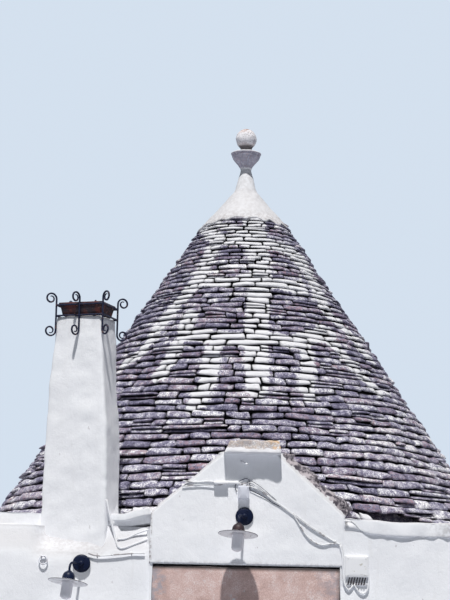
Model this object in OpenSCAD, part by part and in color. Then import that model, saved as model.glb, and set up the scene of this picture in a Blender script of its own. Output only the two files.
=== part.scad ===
// Trullo house: a square whitewashed room of thick stone walls under a dry-stone cone, with a gabled
// door surround, a tapered chimney with a wrought iron flower basket, and two wall lamps.
// Millimetres. X runs along the front to the right, Y from the front to the back, Z up.
// The origin is on the axis of the cone at ground level, and the front faces -Y.

/* [House] */
// Clear width and depth of the square room
room_w = 3600; // [3000:10:4500]
// Width of the flat ledge between the stone roof's foot and the side walls' outer faces
side_ledge = 231; // [150:1:600]
// Width of that ledge at the front, up to the face of the door surround
front_ledge = 281; // [200:1:600]
// Width of that ledge at the back
back_ledge = 201; // [150:1:600]
// How far the front wall stands behind the door surround on the left
left_setback = 40; // [10:1:90]
// How far the front wall stands behind the door surround on the right
right_setback = 10; // [5:1:90]
// Height of the wall between the lintel and the coping
over_lintel_h = 316; // [200:2:500]
// Thickness of the floor
floor_t = 120; // [60:5:150]

/* [Coping] */
// Thickness of the whitewashed coping on the walls
coping_t = 118; // [60:2:160]
// How far the coping overhangs the walls
coping_over = 40; // [10:2:80]
// Radius of the coping's rounded end beside the door surround
coping_end_r = 90; // [40:5:110]
// How far the coping stands out from the front wall's right part
coping_right_over = 12; // [4:1:60]
// Thickness of the coping's lip between the chimney and the gable
ledge_t = 60; // [30:1:100]
// Height of the sloped top edge of the front wall's left part
bank_h = 221; // [100:1:300]
// Depth of the sloped top edge of the front wall's left part
bank_d = 100; // [40:5:160]

/* [Cone] */
// Thickness of the outer stone coat at the roof's foot, from the vault outwards
coat_t = 439; // [380:1:520]
// Radius of the stone roof under the white cap
cone_top_r = 414; // [340:1:470]
// Number of stone courses
course_n = 52; // [40:1:54]
// Height of the lowest course
course_first_h = 82; // [70:1:90]
// Height of the highest course
course_last_h = 39; // [34:1:50]
// How far a course's face stands out from the cone's slope
course_nose = 8; // [0:1:15]
// How far the footing in the coping stands out from the stones' slope
footing_out = 41; // [20:1:70]
// Width of the low recess between the coping and the stones
recess_w = 480; // [200:10:600]
// Height of that recess
recess_h = 80; // [60:5:140]
// Depth of that recess into the stones
recess_d = 200; // [100:10:240]
// Distance of the recess from the door surround
recess_gap = 297; // [60:1:340]

/* [Vault] */
// Thickness of the inner corbelled vault
vault_t = 280; // [200:5:300]
// How far the vault's curve bulges beyond a straight cone
vault_bulge = 170; // [60:5:190]
// Height of the stones between the closing slab and the white cap
crown_h = 595; // [540:1:800]
// Radius of the opening that the closing slab covers
vault_eye_r = 150; // [80:5:200]
// Thickness of the closing slab
closing_t = 80; // [50:5:120]
// Thickness of each corner slab that carries the vault
squinch_t = 120; // [80:5:150]

/* [Pinnacle] */
// Height of the whitewashed cap
cap_h = 608; // [500:2:700]
// How far the cap's foot stands out from the slope of the stones
cap_over = 15; // [5:1:25]
// Height of the steep neck at the cap's top
cap_neck_h = 238; // [160:2:280]
// Radius at the foot of that neck
cap_neck_r = 108; // [80:1:130]
// Radius of the cap at its top
cap_top_r = 50; // [40:1:60]
// Height of the stone cup above the cap
cup_h = 182; // [140:2:220]
// Radius of the cup's rim
cup_r = 156; // [120:2:200]
// How hollow the cup's side is: 1 is a straight cone, more widens it later
cup_curve = 1.8; // [1:0.05:2.5]
// Thickness of the cup's rim
cup_rim_t = 24; // [12:1:40]
// Height of the neck under the ball
neck_h = 58; // [30:1:70]
// Radius of the neck under the ball
neck_r = 58; // [40:1:75]
// Radius of the ball
ball_r = 108; // [90:1:130]

/* [Doorway] */
// Distance of the door's middle from the cone's axis, to the right
portal_x = 15; // [-60:5:60]
// Clear width between the door jambs
door_w = 1130; // [900:5:1180]
// Height of the lintel's underside above the ground
door_h = 1978; // [1850:2:2050]
// Width of the face of each door jamb
jamb_w = 228; // [150:2:260]
// Depth of the jambs and the lintel into the wall
jamb_d = 250; // [180:5:320]
// Height of the lintel
lintel_h = 312; // [220:2:330]
// Width of plaster beside the jambs
plaster_edge = 30; // [15:1:60]
// How much wider the passage is behind each jamb
rebate = 90; // [80:2:110]
// Height of the doorstep
step_h = 150; // [125:5:170]

/* [Gable] */
// Width of the level top of the gable, under its slab
gable_top_w = 476; // [380:2:520]
// Height of the gable above the wall top
gable_h = 626; // [560:2:720]
// Width of the slab on the gable
slab_w = 494; // [420:2:560]
// Thickness of the slab on the gable
slab_t = 114; // [60:2:140]
// How far the slab stands out in front of the gable
slab_out = 100; // [40:5:140]
// How far the slab's middle is to the right of the door's middle
slab_x = 30; // [-10:5:40]

/* [Chimney] */
// Distance of the chimney's middle from the door surround's left edge
chimney_gap = 626; // [580:1:1000]
// How far the chimney's front corner stands behind the front wall's face
chimney_inset = 36; // [5:1:60]
// How far the chimney is turned, clockwise from above
chimney_turn = 19; // [10:1:24]
// Height of the chimney above its foot
chimney_h = 2048; // [1600:2:2600]
// Height above the foot at which the chimney's sides bend inwards
chimney_bend_h = 1045; // [600:5:1400]
// Width of the chimney at its foot
chimney_foot_w = 632; // [600:2:640]
// Width of the chimney where its sides bend
chimney_bend_w = 570; // [540:2:598]
// Width of the chimney at its top
chimney_top_w = 430; // [400:2:460]
// Depth of the chimney at its foot
chimney_foot_d = 330; // [320:2:350]
// Depth of the chimney at its top
chimney_top_d = 320; // [300:2:320]
// Thickness of the chimney's walls around the flue at its top
flue_wall = 95; // [70:5:120]

/* [Flower basket] */
// Thickness of the basket's square bars
bar = 14; // [8:1:18]
// Height of the basket's upper rail above its lower rail
rail_rise = 96; // [60:1:120]
// How far the posts reach below the chimney's top
post_drop = 128; // [100:2:200]
// How far the posts reach above the chimney's top
post_rise = 158; // [130:2:200]
// Radius of the scrolls at the ends of the posts
scroll_r = 58; // [44:1:64]
// Clearance between the flower box and the basket's posts
planter_gap = 10; // [4:1:20]
// Height of the flower box
planter_h = 112; // [80:2:130]
// How much the flower box narrows towards its foot, on each side
planter_taper = 24; // [5:1:40]
// Thickness of the flower box's walls
planter_t = 18; // [10:1:25]
// Depth of the soil below the flower box's rim
soil_drop = 12; // [6:1:30]

/* [Door leaves] */
// Thickness of the door's leaves
leaf_t = 42; // [30:1:50]
// Thickness of the door frame behind the jambs
frame_t = 60; // [45:1:80]
// Gap between a leaf and the wood or stone beside it
leaf_gap = 5; // [3:1:8]

/* [Lamps] */
// Radius of a lamp's round wall plate
lamp_plate_r = 76; // [60:1:90]
// Thickness of a lamp's wall plate
lamp_plate_t = 30; // [20:1:40]
// Distance of a lamp's shade from the wall
lamp_reach = 230; // [190:5:280]
// How far a shade's middle is below its wall plate's middle
lamp_drop = 158; // [140:1:180]
// How far a lamp's head is tilted up at its front
lamp_nod = 9; // [0:1:15]
// Thickness of a lamp's arm
lamp_arm_r = 10; // [7:1:14]
// Radius of a lamp's holder
holder_r = 50; // [40:1:60]
// Radius of the round boss on a lamp's wall plate
lamp_boss_r = 30; // [20:1:40]
// Radius of a lamp's holder at its top
holder_top_r = 22; // [16:1:30]
// Height of the straight part of a lamp's holder
holder_skirt = 37; // [20:1:50]
// Height of a lamp's holder
holder_h = 82; // [60:1:90]
// Radius of a lamp's flat shade
shade_r = 164; // [130:2:190]
// Thickness of a lamp's flat shade
shade_t = 4; // [3:0.5:8]
// Radius of a lamp's glass
glass_r = 48; // [35:1:49]
// Length of a lamp's glass below the shade
glass_h = 150; // [110:5:180]
// Wall of a lamp's glass
glass_t = 4; // [3:0.5:6]

/* [Boxes and cables] */
// Width of the box above the door lamp
lamp_box_w = 95; // [70:1:120]
// Height of the box above the door lamp
lamp_box_h = 112; // [80:1:130]
// Depth of the box above the door lamp
lamp_box_d = 60; // [40:1:80]
// Width of the meter box
meter_w = 195; // [160:1:230]
// Height of the meter box
meter_h = 250; // [160:1:280]
// Depth of the meter box
meter_d = 44; // [36:1:60]
// Radius of a cable
cable_r = 6; // [4:0.5:10]
// Radius of the iron ring on the wall
ring_r = 34; // [24:1:50]
// Radius of the ring's bar
ring_bar_r = 6; // [4:0.5:8]

/* [Hidden] */
$fn = 96;

// Walls and levels
room_r = room_w / 2;
vault_foot_r = room_r + vault_t;
cone_foot_r = vault_foot_r + coat_t;
half_w = cone_foot_r + side_ledge;
portal_y = cone_foot_r + front_ledge;
house_back = cone_foot_r + back_ledge;
lintel_top = door_h + lintel_h;
wall_h = lintel_top + over_lintel_h;
left_front = portal_y - left_setback;
right_front = portal_y - right_setback;
coping_top = wall_h + coping_t;
fit_gap = 0.3;
far = 4000;

// Doorway
jamb_in = door_w / 2;
jamb_out = jamb_in + jamb_w;
passage = jamb_in + rebate;
edge_left = portal_x - jamb_out - plaster_edge;
edge_right = portal_x + jamb_out + plaster_edge;
passage_h = door_h + rebate / 2;
gable_back = vault_foot_r + 20;
reveal_y = portal_y - jamb_d;

// Courses: each course is a little lower than the one below it
function course_h(i) = course_first_h + (course_last_h - course_first_h) * i / (course_n - 1);
function course_z(i) = coping_top + i * course_first_h
    + (course_last_h - course_first_h) / (course_n - 1) * i * (i - 1) / 2;
cone_top_z = course_z(course_n);
cone_taper = (cone_foot_r - cone_top_r) / (cone_top_z - coping_top);
function cone_r(z) = cone_foot_r - (z - coping_top) * cone_taper;
function course_r(i) = cone_r(course_z(i) + course_h(i) / 2) + course_nose;
footing_r = cone_foot_r + footing_out;
recess_x = edge_right + recess_gap + recess_w / 2;
recess_back = sqrt(cone_foot_r * cone_foot_r - recess_x * recess_x) - recess_d;
course_a = round(course_n * 0.29);
course_b = round(course_n * 0.62);

// Vault: a straight cone plus a bulge that is greatest at half height
vault_steps = 10;
vault_top = cone_top_z - crown_h - closing_t;
vault_h = vault_top - wall_h;
function vault_r(t) = room_r + (vault_eye_r - room_r) * t + 4 * vault_bulge * t * (1 - t);
vault_in = [for (k = [0 : vault_steps]) [wall_h + vault_h * k / vault_steps, vault_r(k / vault_steps)]];
vault_out = [for (p = vault_in) [p[0], p[1] + vault_t]];

// Chimney and basket
chimney_foot_z = wall_h - bank_h;
chimney_bend = chimney_foot_z + chimney_bend_h;
chimney_top = chimney_foot_z + chimney_h;
chimney_x = chimney_gap - edge_left;
chimney_y = left_front - chimney_inset
    - chimney_foot_d / 2 * cos(chimney_turn) - chimney_foot_w / 2 * sin(chimney_turn);
function chimney_at(x, y) = [-chimney_x + x * cos(chimney_turn) + y * sin(chimney_turn),
    -chimney_y - x * sin(chimney_turn) + y * cos(chimney_turn)];
chimney_left = chimney_at(-chimney_foot_w / 2, -chimney_foot_d / 2);
chimney_right = chimney_at(chimney_foot_w / 2, -chimney_foot_d / 2);
function chimney_w(z) = lookup(z, [[chimney_foot_z, chimney_foot_w], [chimney_bend, chimney_bend_w],
    [chimney_top, chimney_top_w]]);
function chimney_d(z) = lookup(z, [[chimney_foot_z, chimney_foot_d], [chimney_top, chimney_top_d]]);
post_foot_z = chimney_top - post_drop;
post_x = chimney_w(post_foot_z - scroll_r) / 2 + bar / 2;
post_y = chimney_d(post_foot_z - scroll_r) / 2 + bar / 2;
rail_low = chimney_top;
rail_high = rail_low + rail_rise;
planter_w = 2 * (post_x - planter_gap) - bar;
planter_d = 2 * (post_y - planter_gap) - bar;
planter_top = rail_low + bar + planter_h;

// Lamps, boxes and cables: places on the front
door_lamp = [portal_x - 27, -portal_y, lintel_top + 414];
door_lamp_lean = -49;
wall_lamp = [-chimney_x + 53, -left_front, chimney_foot_z - 101];
wall_lamp_lean = -80;
lamp_box_at = [portal_x - 39, -portal_y, lintel_top + 613];
meter_at = [edge_right + 104, -right_front, lintel_top - 21];
ring_at = [-chimney_x - 271, -left_front, chimney_foot_z - 81];
cable_off = cable_r + fit_gap;
// Cable routes from the lintel's top edge, and the low one from the chimney's foot
cable_high = [[-555, 704], [-445, 695], [-335, 702], [-215, 696], [-125, 700], [-45, 682]];
cable_slope = [[-15, 675], [45, 660], [119, 625], [230, 542], [335, 470], [444, 395], [555, 320],
    [658, 257], [745, 215], [797, 180], [811, 110], [813, 10], [813, -110]];
cable_loop = [[380, 452], [435, 360], [495, 270], [565, 210], [635, 188], [715, 200], [785, 196]];
cable_low = [[104, -13], [184, -33], [334, -23], [474, -10], [584, -5]];

module at_chimney() translate([-chimney_x, -chimney_y, 0]) rotate([0, 0, -chimney_turn]) children();

// A block given by its low and high corners
module block(low, high) translate(low) cube(high - low);

// A section drawn in X and Z, run along Y from y0 to y1
module run_y(y0, y1) translate([0, y1, 0]) rotate([90, 0, 0]) linear_extrude(y1 - y0) children();

// A section drawn in Y and Z, run along X from x0 to x1
module run_x(x0, x1) translate([x0, 0, 0]) rotate([90, 0, 90]) linear_extrude(x1 - x0) children();

// The room's floor runs on through the passage behind the doorstep
module floor() color("lightgray") {
    block([-room_r, -room_r, 0], [room_r, room_r, floor_t]);
    block([portal_x - passage, -reveal_y, 0], [portal_x + passage, -room_r + 1, floor_t]);
}

module doorstep() color("rosybrown")
    block([portal_x - jamb_in, -portal_y, 0], [portal_x + jamb_in, -reveal_y, step_h]);

// The chimney's outer form, used also to cut what it passes through
module chimney_form() at_chimney() intersection() {
    run_y(-far, far) polygon([
        [-chimney_foot_w / 2, chimney_foot_z], [chimney_foot_w / 2, chimney_foot_z],
        [chimney_bend_w / 2, chimney_bend], [chimney_top_w / 2, chimney_top],
        [-chimney_top_w / 2, chimney_top], [-chimney_bend_w / 2, chimney_bend]]);
    run_x(-far, far) polygon([
        [-chimney_foot_d / 2, chimney_foot_z], [chimney_foot_d / 2, chimney_foot_z],
        [chimney_top_d / 2, chimney_top], [-chimney_top_d / 2, chimney_top]]);
}

// The space in front of the chimney above its foot, where the wall's top is a level ledge
module chimney_front() translate([0, 0, chimney_foot_z]) linear_extrude(coping_top) polygon([
    [chimney_left[0], -portal_y], chimney_left,
    chimney_at(-chimney_foot_w / 2 + 20, -chimney_foot_d / 2 + 20),
    chimney_at(chimney_foot_w / 2 - 20, -chimney_foot_d / 2 + 20),
    chimney_right, [chimney_right[0], -portal_y]]);

module front_wall_left() color("white") difference() {
    union() {
        run_x(-half_w, portal_x - jamb_out) polygon([
            [-left_front, 0], [-left_front, wall_h - bank_h], [-left_front + bank_d, wall_h],
            [-room_r, wall_h], [-room_r, 0]]);
        block([portal_x - jamb_out - 1, -reveal_y, 0], [portal_x - passage, -room_r, wall_h]);
        block([edge_left, -portal_y, 0], [portal_x - jamb_out, -reveal_y, wall_h]);
    }
    chimney_form();
    chimney_front();
}

module front_wall_right() color("white") {
    block([portal_x + jamb_out, -right_front, 0], [half_w, -room_r, wall_h]);
    block([portal_x + passage, -reveal_y, 0], [portal_x + jamb_out + 1, -room_r, wall_h]);
    block([portal_x + jamb_out, -portal_y, 0], [edge_right, -reveal_y, wall_h]);
}

module left_wall() color("white")
    block([-half_w, -room_r, 0], [-room_r, room_r, wall_h]);

module right_wall() color("white")
    block([room_r, -room_r, 0], [half_w, room_r, wall_h]);

module back_wall() color("white")
    block([-half_w, room_r, 0], [half_w, house_back, wall_h]);

module wall_over_door() color("white")
    block([portal_x - passage, -reveal_y, passage_h], [portal_x + passage, -room_r, wall_h]);

module door_jamb(side) color("rosybrown")
    block([portal_x + (side < 0 ? -jamb_out : jamb_in), -portal_y, 0],
        [portal_x + (side < 0 ? -jamb_in : jamb_out), -reveal_y, door_h]);
module door_jamb_left() door_jamb(-1);
module door_jamb_right() door_jamb(1);

module lintel() color("rosybrown")
    block([portal_x - jamb_out, -portal_y, door_h], [portal_x + jamb_out, -reveal_y, lintel_top]);

module portal_wall() color("white")
    block([portal_x - jamb_out, -portal_y, lintel_top], [portal_x + jamb_out, -reveal_y, wall_h]);

// The gable's form from its foot to the slab, also cut out of the roof and the coping
module gable_form() run_y(-portal_y, -gable_back) polygon([
    [edge_left, wall_h], [edge_left, coping_top],
    [portal_x + slab_x / 2 - gable_top_w / 2, wall_h + gable_h],
    [portal_x + slab_x / 2 + gable_top_w / 2, wall_h + gable_h],
    [edge_right, coping_top], [edge_right, wall_h]]);
module gable() color("white") gable_form();

module gable_slab() color("darkgray")
    block([portal_x + slab_x - slab_w / 2, -portal_y - slab_out, wall_h + gable_h],
        [portal_x + slab_x + slab_w / 2, -gable_back, wall_h + gable_h + slab_t]);

// The round hole in the coping that the roof's footing fills
module footing_hole() translate([0, 0, wall_h - 1])
    cylinder(h = coping_t + 2, r = footing_r + fit_gap);

// It carries on the slope of the wall's top edge, and has a lip only beside the gable
module coping_front_left() color("white") difference() {
    bank_top = -left_front + bank_d;
    union() {
        run_x(-half_w - coping_over, edge_left) polygon([[bank_top, wall_h],
            [bank_top + coping_t * bank_d / bank_h, coping_top], [0, coping_top], [0, wall_h]]);
        block([chimney_right[0], bank_top - coping_over, coping_top - ledge_t], [edge_left, 0, coping_top]);
        block([chimney_right[0], bank_top, wall_h], [edge_left, 0, coping_top]);
    }
    footing_hole();
    chimney_form();
    chimney_front();
}

// Its overhanging lip begins beside the gable with a rounded lower corner
module coping_front_right() color("white") {
    difference() {
        block([edge_right, -right_front, wall_h], [half_w + coping_over, 0, coping_top]);
        footing_hole();
    }
    run_y(-right_front - coping_right_over, -right_front) {
        translate([edge_right + coping_end_r, wall_h])
            square([half_w + coping_over - edge_right - coping_end_r, coping_t]);
        translate([edge_right, wall_h + coping_end_r]) square([coping_end_r, coping_t - coping_end_r]);
        intersection() {
            translate([edge_right + coping_end_r, wall_h + coping_end_r]) circle(coping_end_r);
            translate([edge_right, wall_h]) square(coping_end_r);
        }
    }
}

module coping_back_left() color("white") difference() {
    block([-half_w - coping_over, 0, wall_h], [0, house_back + coping_over, coping_top]);
    footing_hole();
}

module coping_back_right() color("white") difference() {
    block([0, 0, wall_h], [half_w + coping_over, house_back + coping_over, coping_top]);
    footing_hole();
}

// Three slabs in each corner, each reaching further in than the one below
module corner_slabs() color("lightgray")
    for (a = [0 : 90 : 270], k = [1 : 3]) let (leg = room_r * (2 - sqrt(2)) * k / 3)
        rotate([0, 0, a]) translate([room_r, room_r, wall_h - (4 - k) * squinch_t])
            linear_extrude(squinch_t) polygon([[0, 0], [-leg, 0], [0, -leg]]);

// The vault's ring from step number a up to b
module vault_ring(a, b) color("gainsboro") rotate_extrude()
    polygon(concat([for (k = [a : b]) [vault_in[k][1], vault_in[k][0]]],
        [for (k = [b : -1 : a]) [vault_out[k][1], vault_out[k][0]]]));
module vault_lower() vault_ring(0, vault_steps / 2);
module vault_upper() vault_ring(vault_steps / 2, vault_steps);

module closing_slab() color("lightgray")
    translate([0, 0, vault_top]) cylinder(h = closing_t, r = vault_eye_r + vault_t);

// The courses from number a up to b, with the vault's outer side as their inner side
module courses(a, b) {
    z0 = a == 0 ? wall_h : course_z(a);
    z1 = min(course_z(b), vault_top);
    inner = [for (p = vault_out) if (p[0] > z0 + 1 && p[0] < z1 - 1) [p[1], p[0]]];
    above = course_z(b) > vault_top
        ? [[vault_eye_r + vault_t, vault_top + closing_t], [0, vault_top + closing_t], [0, course_z(b)]]
        : [];
    footing = a == 0 ? [[footing_r, wall_h], [footing_r, coping_top]] : [];
    rotate_extrude() polygon(concat(
        [[lookup(z0, vault_out), z0]], inner, [[lookup(z1, vault_out), z1]], above,
        [for (i = [b - 1 : -1 : a], top = [1, 0]) [course_r(i), top ? course_z(i + 1) : course_z(i)]],
        [for (k = [len(footing) - 1 : -1 : 0]) footing[k]]));
}

module roof_lower() color("gray") difference() {
    courses(0, course_a);
    gable_form();
    gable_slab();
    chimney_form();
    block([recess_x - recess_w / 2, -portal_y, coping_top],
        [recess_x + recess_w / 2, -recess_back, coping_top + recess_h]);
}
module roof_middle() color("gray") courses(course_a, course_b);
module roof_upper() color("gray") courses(course_b, course_n);

// Plaster cap: a straight flare with a steep neck on top
module apex_cap() color("white") translate([0, 0, cone_top_z]) {
    cylinder(h = cap_h - cap_neck_h, r1 = cone_top_r + cap_over, r2 = cap_neck_r);
    translate([0, 0, cap_h - cap_neck_h]) cylinder(h = cap_neck_h, r1 = cap_neck_r, r2 = cap_top_r);
}

// Cup: a stem that widens in a hollow curve to a thin rim
cup_steps = 7;
function cup_side(t) = cap_top_r + (cup_r - cap_top_r) * pow(t, cup_curve);
module finial_cup() color("darkgray") translate([0, 0, cone_top_z + cap_h]) rotate_extrude()
    polygon(concat([[0, 0]],
        [for (k = [0 : cup_steps]) [cup_side(k / cup_steps), (cup_h - cup_rim_t) * k / cup_steps]],
        [[cup_r, cup_h], [0, cup_h]]));

module finial_ball() color("gainsboro") translate([0, 0, cone_top_z + cap_h + cup_h]) {
    ball_z = neck_h + sqrt(ball_r * ball_r - neck_r * neck_r);
    rotate_extrude() intersection() {
        union() {
            translate([0, ball_z]) circle(ball_r);
            square([neck_r, ball_z]);
        }
        square([ball_r * 2, ball_z + ball_r * 2]);
    }
}

module chimney() color("white") difference() {
    chimney_form();
    at_chimney() block([-chimney_top_w / 2 + flue_wall, -chimney_top_d / 2 + flue_wall, coping_top],
        [chimney_top_w / 2 - flue_wall, chimney_top_d / 2 - flue_wall, chimney_top + 1]);
}

// A spiral band that starts at the origin going up, curls outwards to the left and tightens
scroll_steps = 20;
scroll_turn = 470;
scroll_end = 0.38;
function spiral(k, out) = let (t = k / scroll_steps, mid_r = scroll_r - bar / 2,
    r = mid_r * (1 - (1 - scroll_end) * t) + out)
    [-mid_r + r * cos(scroll_turn * t), r * sin(scroll_turn * t)];
module scroll() polygon(concat(
    [for (k = [0 : scroll_steps]) spiral(k, bar / 2)],
    [for (k = [scroll_steps : -1 : 0]) spiral(k, -bar / 2)]));

// A post with a scroll at each end, drawn flat with the scrolls to the left
module post_outline() {
    translate([-bar / 2, post_foot_z]) square([bar, post_drop + post_rise]);
    translate([0, chimney_top + post_rise]) scroll();
    translate([0, post_foot_z]) mirror([0, 1]) scroll();
}
module post(x, y, turn) translate([x, y, 0]) rotate([0, 0, turn]) rotate([90, 0, 0])
    linear_extrude(bar, center = true) post_outline();

module rail(z) difference() {
    block([-post_x - bar / 2, -post_y - bar / 2, z], [post_x + bar / 2, post_y + bar / 2, z + bar]);
    block([-post_x + bar / 2, -post_y + bar / 2, z - 1],
        [post_x - bar / 2, post_y - bar / 2, z + bar + 1]);
}

module flower_basket() color("midnightblue") at_chimney() {
    rail(rail_low);
    rail(rail_high);
    for (sx = [-1, 1], sy = [-1, 1])
        post(sx * post_x, sy * post_y, sx < 0 ? -sy * -45 : 180 - sy * 45);
    for (sy = [-1, 1]) post(0, sy * post_y, sy < 0 ? 90 : -90);
    for (k = [-1, 0, 1]) translate([k * planter_w / 3, 0, rail_low])
        block([-bar, -post_y, 0], [bar, post_y, bar]);
}

// The flower box's form between two heights, taken in all round, and narrower at its foot
module trough(inset, z0, z1) {
    function half(w, z) = w / 2 - inset - planter_taper * (planter_top - z) / planter_h;
    module side(w)
        polygon([[-half(w, z0), z0], [half(w, z0), z0], [half(w, z1), z1], [-half(w, z1), z1]]);
    intersection() {
        run_y(-far, far) side(planter_w);
        run_x(-far, far) side(planter_d);
    }
}
module flower_box() color("sienna") at_chimney() difference() {
    trough(0, planter_top - planter_h, planter_top);
    trough(planter_t, planter_top - planter_h + planter_t, planter_top + 1);
}
module soil() color("saddlebrown") at_chimney()
    trough(planter_t, planter_top - planter_h + planter_t, planter_top - soil_drop);

module door_post(side) color("sienna")
    block([portal_x + (side < 0 ? -passage : jamb_in), -reveal_y, floor_t],
        [portal_x + (side < 0 ? -jamb_in : passage), -reveal_y + frame_t, door_h]);
module door_post_left() door_post(-1);
module door_post_right() door_post(1);

module door_head() color("sienna")
    block([portal_x - passage, -reveal_y, door_h], [portal_x + passage, -reveal_y + frame_t, passage_h]);

// Each leaf stands open, flat against the side of the passage
module door_leaf(side) color("sienna")
    block([portal_x + (side < 0 ? -passage + leaf_gap : passage - leaf_gap - leaf_t),
            -reveal_y + frame_t, floor_t + leaf_gap],
        [portal_x + (side < 0 ? -passage + leaf_gap + leaf_t : passage - leaf_gap),
            -reveal_y + frame_t + jamb_in, door_h - leaf_gap]);
module door_leaf_left() door_leaf(-1);
module door_leaf_right() door_leaf(1);

// A lamp's head hangs from the foot of its arm, tilted about it. Its origin is the shade's underside.
arm_foot = -lamp_drop + shade_t + holder_h - holder_top_r / 2;
module at_head(at, lean) translate(at + [lean, -lamp_reach, arm_foot]) rotate([-lamp_nod, 0, 0])
    translate([0, 0, -lamp_drop - arm_foot]) children();

// Lamp: a wall plate, an arm that leaves it forwards and bends down, and a holder over the shade
module lamp_bracket(lean) {
    bend = lamp_arm_r * 4;
    reach = norm([lean, lamp_reach]);
    rotate([90, 0, 0]) cylinder(h = lamp_plate_t, r = lamp_plate_r);
    translate([0, -lamp_plate_t, 0]) sphere(r = lamp_boss_r);
    rotate([0, 0, atan2(lean, lamp_reach)]) {
        translate([0, -lamp_plate_t / 2, 0]) rotate([90, 0, 0])
            cylinder(h = reach - bend - lamp_plate_t / 2, r = lamp_arm_r);
        translate([0, -reach + bend, -bend]) rotate([90, 0, -90])
            rotate_extrude(angle = 90) translate([bend, 0]) circle(r = lamp_arm_r);
        translate([0, -reach, arm_foot]) cylinder(h = -bend - arm_foot, r = lamp_arm_r);
    }
    at_head([0, 0, 0], lean) translate([0, 0, shade_t]) {
        cylinder(h = holder_skirt, r = holder_r);
        translate([0, 0, holder_skirt])
            cylinder(h = holder_h - holder_skirt, r1 = holder_r, r2 = holder_top_r);
    }
}
module lamp_shade() difference() {
    cylinder(h = shade_t, r = shade_r);
    translate([0, 0, -1]) cylinder(h = shade_t / 2 + 1, r = glass_r + fit_gap);
}
// A cylinder of glass with a rounded lower end, open inside up to the shade
module lamp_glass() rotate_extrude() translate([0, -glass_h + glass_r * 0.7]) difference() {
    union() {
        square([glass_r, glass_h - glass_r * 0.7 + shade_t / 2]);
        scale([1, 0.7]) intersection() {
            circle(glass_r);
            translate([0, -glass_r]) square([glass_r, glass_r]);
        }
    }
    translate([-1, 0]) square([glass_r - glass_t + 1, glass_h + glass_r]);
}

module door_lamp_bracket() color("midnightblue") translate(door_lamp) lamp_bracket(door_lamp_lean);
module door_lamp_shade() color("lightsteelblue") at_head(door_lamp, door_lamp_lean) lamp_shade();
module door_lamp_glass() color("gray") at_head(door_lamp, door_lamp_lean) lamp_glass();
module wall_lamp_bracket() color("midnightblue") translate(wall_lamp) lamp_bracket(wall_lamp_lean);
module wall_lamp_shade() color("lightsteelblue") at_head(wall_lamp, wall_lamp_lean) lamp_shade();
module wall_lamp_glass() color("gray") at_head(wall_lamp, wall_lamp_lean) lamp_glass();

// A box with its back on the wall, middle at a point of the wall
module wall_box(at, w, h, d) translate(at)
    block([-w / 2, -d, -h / 2], [w / 2, 0, h / 2]);
module lamp_box() color("white") wall_box(lamp_box_at, lamp_box_w, lamp_box_h, lamp_box_d);
module meter_box() color("white") wall_box(meter_at, meter_w, meter_h, meter_d);

module wall_ring() color("lightsteelblue") translate(ring_at) {
    translate([0, -ring_bar_r * 3, 0]) rotate([90, 0, 0]) rotate_extrude()
        translate([ring_r, 0]) circle(r = ring_bar_r);
    block([-ring_bar_r, -ring_bar_r * 4.5, ring_r - ring_bar_r * 1.5],
        [ring_bar_r, 0, ring_r + ring_bar_r * 1.5]);
}

// A round cable along points of X and Z, measured from a corner, lying on the plane at -y
module cable(route, corner, y) {
    points = [for (p = route) p + corner];
    n = len(points);
    sides = 8;
    function way(i) = let (d = points[min(i + 1, n - 1)] - points[max(i - 1, 0)]) d / norm(d);
    function ring(i) = [for (s = [0 : sides - 1])
        let (w = way(i), across = cable_r * cos(360 * s / sides), up = cable_r * sin(360 * s / sides))
        [points[i][0] - w[1] * across, -y - cable_off - up, points[i][1] + w[0] * across]];
    rings = [for (i = [0 : n - 1]) each ring(i)];
    polyhedron(rings, concat(
        [[for (s = [0 : sides - 1]) s]],
        [for (i = [0 : n - 2], s = [0 : sides - 1]) let (a = i * sides, next = (s + 1) % sides)
            [a + s, a + sides + s, a + sides + next, a + next]],
        [[for (s = [sides - 1 : -1 : 0]) (n - 1) * sides + s]]));
}
module cables() color("lightgray") {
    cable(cable_high, [portal_x, lintel_top], portal_y);
    cable(cable_slope, [portal_x, lintel_top], portal_y);
    cable(cable_loop, [portal_x, lintel_top], portal_y);
    cable(cable_low, [-chimney_x, chimney_foot_z], left_front);
}

floor();
doorstep();
front_wall_left();
front_wall_right();
left_wall();
right_wall();
back_wall();
wall_over_door();
door_jamb_left();
door_jamb_right();
lintel();
portal_wall();
gable();
gable_slab();
coping_front_left();
coping_front_right();
coping_back_left();
coping_back_right();
corner_slabs();
vault_lower();
vault_upper();
closing_slab();
roof_lower();
roof_middle();
roof_upper();
apex_cap();
finial_cup();
finial_ball();
chimney();
flower_basket();
flower_box();
soil();
door_post_left();
door_post_right();
door_head();
door_leaf_left();
door_leaf_right();
door_lamp_bracket();
door_lamp_shade();
door_lamp_glass();
wall_lamp_bracket();
wall_lamp_shade();
wall_lamp_glass();
lamp_box();
meter_box();
wall_ring();
cables();
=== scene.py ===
# %% [markdown]
# # A trullo house
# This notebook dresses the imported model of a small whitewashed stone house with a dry-stone cone for a
# roof. Each step has a few words on the real thing and on how its surface is worked out, and then short
# cells that make it. Lengths are in metres. X runs along the front to the right, Y from the front to the
# back and Z up, and the origin is on the cone's axis at ground level.

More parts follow.
